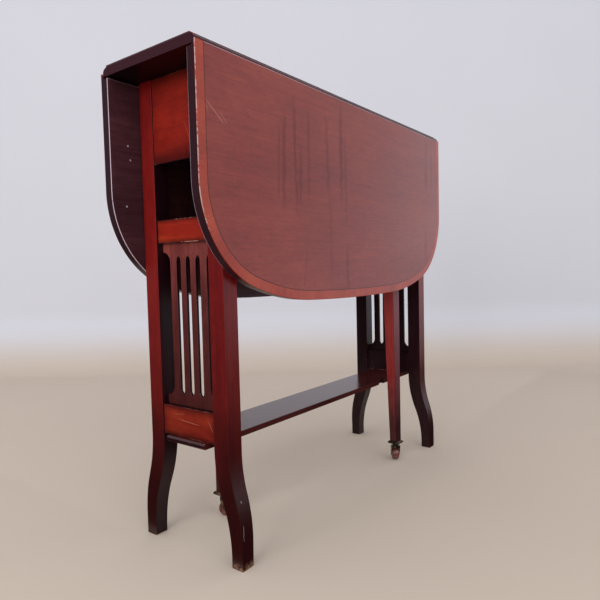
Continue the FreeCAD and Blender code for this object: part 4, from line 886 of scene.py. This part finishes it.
# Studio: a pale floor that curves up into a backdrop, an even surround and two soft lamps, turned towards aim.
studio = {
    "heading": 37.15, "wallAway": 1.35, "bend": 0.25, "height": 4.0, "width": 1.75, "floorWidth": 6.0,
    "behind": 6.0, "floor": (0.62, 0.52, 0.42), "wall": (0.72, 0.73, 0.78), "wallFrom": 0.2,
    "surround": (0.66, 0.67, 0.72), "fill": 1.25, "aim": (0, 0, 0.4),
    "lamps": [
        {"name": "keyLamp", "place": (-0.9, -2.4, 2.2), "size": (2.2, 1.8), "power": 14},
        {"name": "endLamp", "place": (-2.7, -0.2, 1.1), "size": (1.6, 1.2), "power": 30},
    ],
}
# Cards that only show as reflections: dark ones deepen the polish of the ends and the feet, pale ones give the
# front its sheen. Each is its colour, its glow and its corners.
cardBlack = (0.02, 0.02, 0.022)
cards = {
    "endFlag": (cardBlack, 0.0, [(-1.25, 0.15, 0.0), (-1.25, 2.2, 0.0), (-1.25, 2.2, 1.7), (-1.25, 0.15, 1.7)]),
    "endFloorFlag": (cardBlack, 0.0,
                     [(-1.3, -0.2, 0.001), (-0.33, -0.2, 0.001), (-0.33, 2.2, 0.001), (-1.3, 2.2, 0.001)]),
    "frontFloorFlag": (cardBlack, 0.0,
                       [(-0.33, -2.0, 0.001), (1.4, -2.0, 0.001), (1.4, -0.1, 0.001), (-0.33, -0.1, 0.001)]),
    "sheenCard": ((1.0, 0.99, 1.07), 1.35,
                  [(2.0, -1.1, 0.45), (2.9, 0.3, 0.45), (2.9, 0.3, 2.2), (2.2, -0.8, 2.2)]),
    "lowSheenCard": ((0.95, 0.93, 1.03), 1.0,
                     [(1.2, -1.75, 0.0), (2.9, 0.3, 0.0), (2.9, 0.3, 0.45), (1.3, -1.7, 0.45)]),
}


def stagePiece(mesh, material):
    obj = linked(mesh.name, mesh)
    mesh.materials.append(material)
    return obj


# The sheet: a flat run, a quarter turn and a straight rise, carried sideways. Wings of floor lie on both sides.
def makeFloor():
    bend, away, wide, behind = (studio[key] for key in ("bend", "wallAway", "width", "behind"))
    turn = np.linspace(0, math.pi / 2, 16)
    ahead = np.concatenate([[-behind, away - bend], away - bend + bend * np.sin(turn), [away]])
    rise = np.concatenate([[0, 0], bend - bend * np.cos(turn), [studio["height"]]])
    heading = math.radians(studio["heading"])
    forward, right = (math.cos(heading), math.sin(heading)), (math.sin(heading), -math.cos(heading))

    def sheet(name, ahead, rise, across):
        run, side = np.meshgrid(ahead, across, indexing="ij")
        spots = np.stack([run * forward[0] + side * right[0], run * forward[1] + side * right[1],
                          np.broadcast_to(rise[:, None], run.shape)], -1)
        index = np.arange(run.size).reshape(run.shape)
        faces = np.stack([index[:-1, :-1], index[:-1, 1:], index[1:, 1:], index[1:, :-1]], -1).reshape(-1, 4)
        mesh = newMesh(name, spots, faces.tolist())
        mesh.polygons.foreach_set("use_smooth", np.ones(len(mesh.polygons), bool))
        return mesh

    material, tree, shader = newMaterial("paleSheet")
    place = put(tree, "TexCoord").outputs["Object"]
    cloud = put(tree, "TexNoise", {"Vector": place, "Scale": 2.0, "Detail": 3.0})
    height = put(tree, "SeparateXYZ", {0: place}).outputs[2]
    colour = blendColour(tree, ease(tree, height, 0.0, studio["wallFrom"]), rgba(studio["floor"]),
                         rgba(studio["wall"]))
    colour = cover(tree, colour, cloud.outputs[0], 0.05, (0, 0, 0))
    feed(tree, shader, {"Base Color": colour, "Roughness": 0.8, "Specular IOR Level": 0.2})
    stagePiece(sheet("studioSheet", ahead, rise, np.array([-wide, wide])), material)
    far = studio["floorWidth"]
    for name, span in {"leftFloor": [-far, -wide], "rightFloor": [wide, far]}.items():
        stagePiece(sheet(name, np.array([-behind, behind]), np.zeros(2), np.array(span)), material)


def makeCards():
    for name, (colour, glow, corners) in cards.items():
        material, tree, shader = newMaterial(name)
        ground = colour if glow == 0 else (0, 0, 0)
        feed(tree, shader, {"Base Color": rgba(ground), "Emission Color": rgba(colour),
                            "Emission Strength": glow, "Roughness": 1.0, "Specular IOR Level": 0.0})
        card = stagePiece(newMesh(name, np.array(corners), [(0, 1, 2, 3)]), material)
        card.visible_camera = card.visible_diffuse = card.visible_shadow = card.visible_transmission = False


# The surround lights the table evenly, and shows a little darker than it lights.
def makeLight():
    world = bpy.data.worlds.new("studioSurround")
    bpy.context.scene.world = world
    world.use_nodes = True
    tree = world.node_tree
    tree.nodes.clear()
    ray = put(tree, "LightPath")
    seen = maths(tree, "MAXIMUM", ray.outputs["Is Camera Ray"],
                 maths(tree, "MAXIMUM", ray.outputs["Is Glossy Ray"], ray.outputs["Is Transmission Ray"]))
    fill = put(tree, "Background", {"Color": rgba(studio["surround"]), "Strength": studio["fill"]})
    shown = put(tree, "Background", {"Color": rgba(studio["surround"]), "Strength": 1.0})
    both = put(tree, "MixShader", {0: seen, 1: fill.outputs[0], 2: shown.outputs[0]})
    put(tree, "OutputWorld", {"Surface": both.outputs[0]})
    for lamp in studio["lamps"]:
        light = bpy.data.lights.new(lamp["name"], "AREA")
        light.shape = "RECTANGLE"
        light.size, light.size_y = lamp["size"]
        light.energy = lamp["power"]
        holder = linked(lamp["name"], light)
        holder.location = lamp["place"]
        aim = Vector(studio["aim"]) - Vector(lamp["place"])
        holder.rotation_euler = aim.to_track_quat("-Z", "Y").to_euler()


makeFloor()
makeCards()
makeLight()
print("studio lit")

# The camera stands a little over half as high as the table, turned a little clockwise.
view = {"place": (-0.8314, -0.5991, 0.4069), "forward": (0.79582, 0.60287, -0.05674), "roll": -1.37,
        "lens": 32.63}


def makeCamera():
    data = bpy.data.cameras.new("camera")
    data.lens = view["lens"]
    data.sensor_width = 36.0
    camera = linked("camera", data)
    camera.location = view["place"]
    level = Vector(view["forward"]).to_track_quat("-Z", "Y")
    camera.rotation_mode = "QUATERNION"
    camera.rotation_quaternion = level @ Quaternion((0, 0, 1), math.radians(view["roll"]))
    bpy.context.scene.camera = camera
    print("camera placed")


makeCamera()
bpy.context.scene.view_settings.view_transform = "Standard"
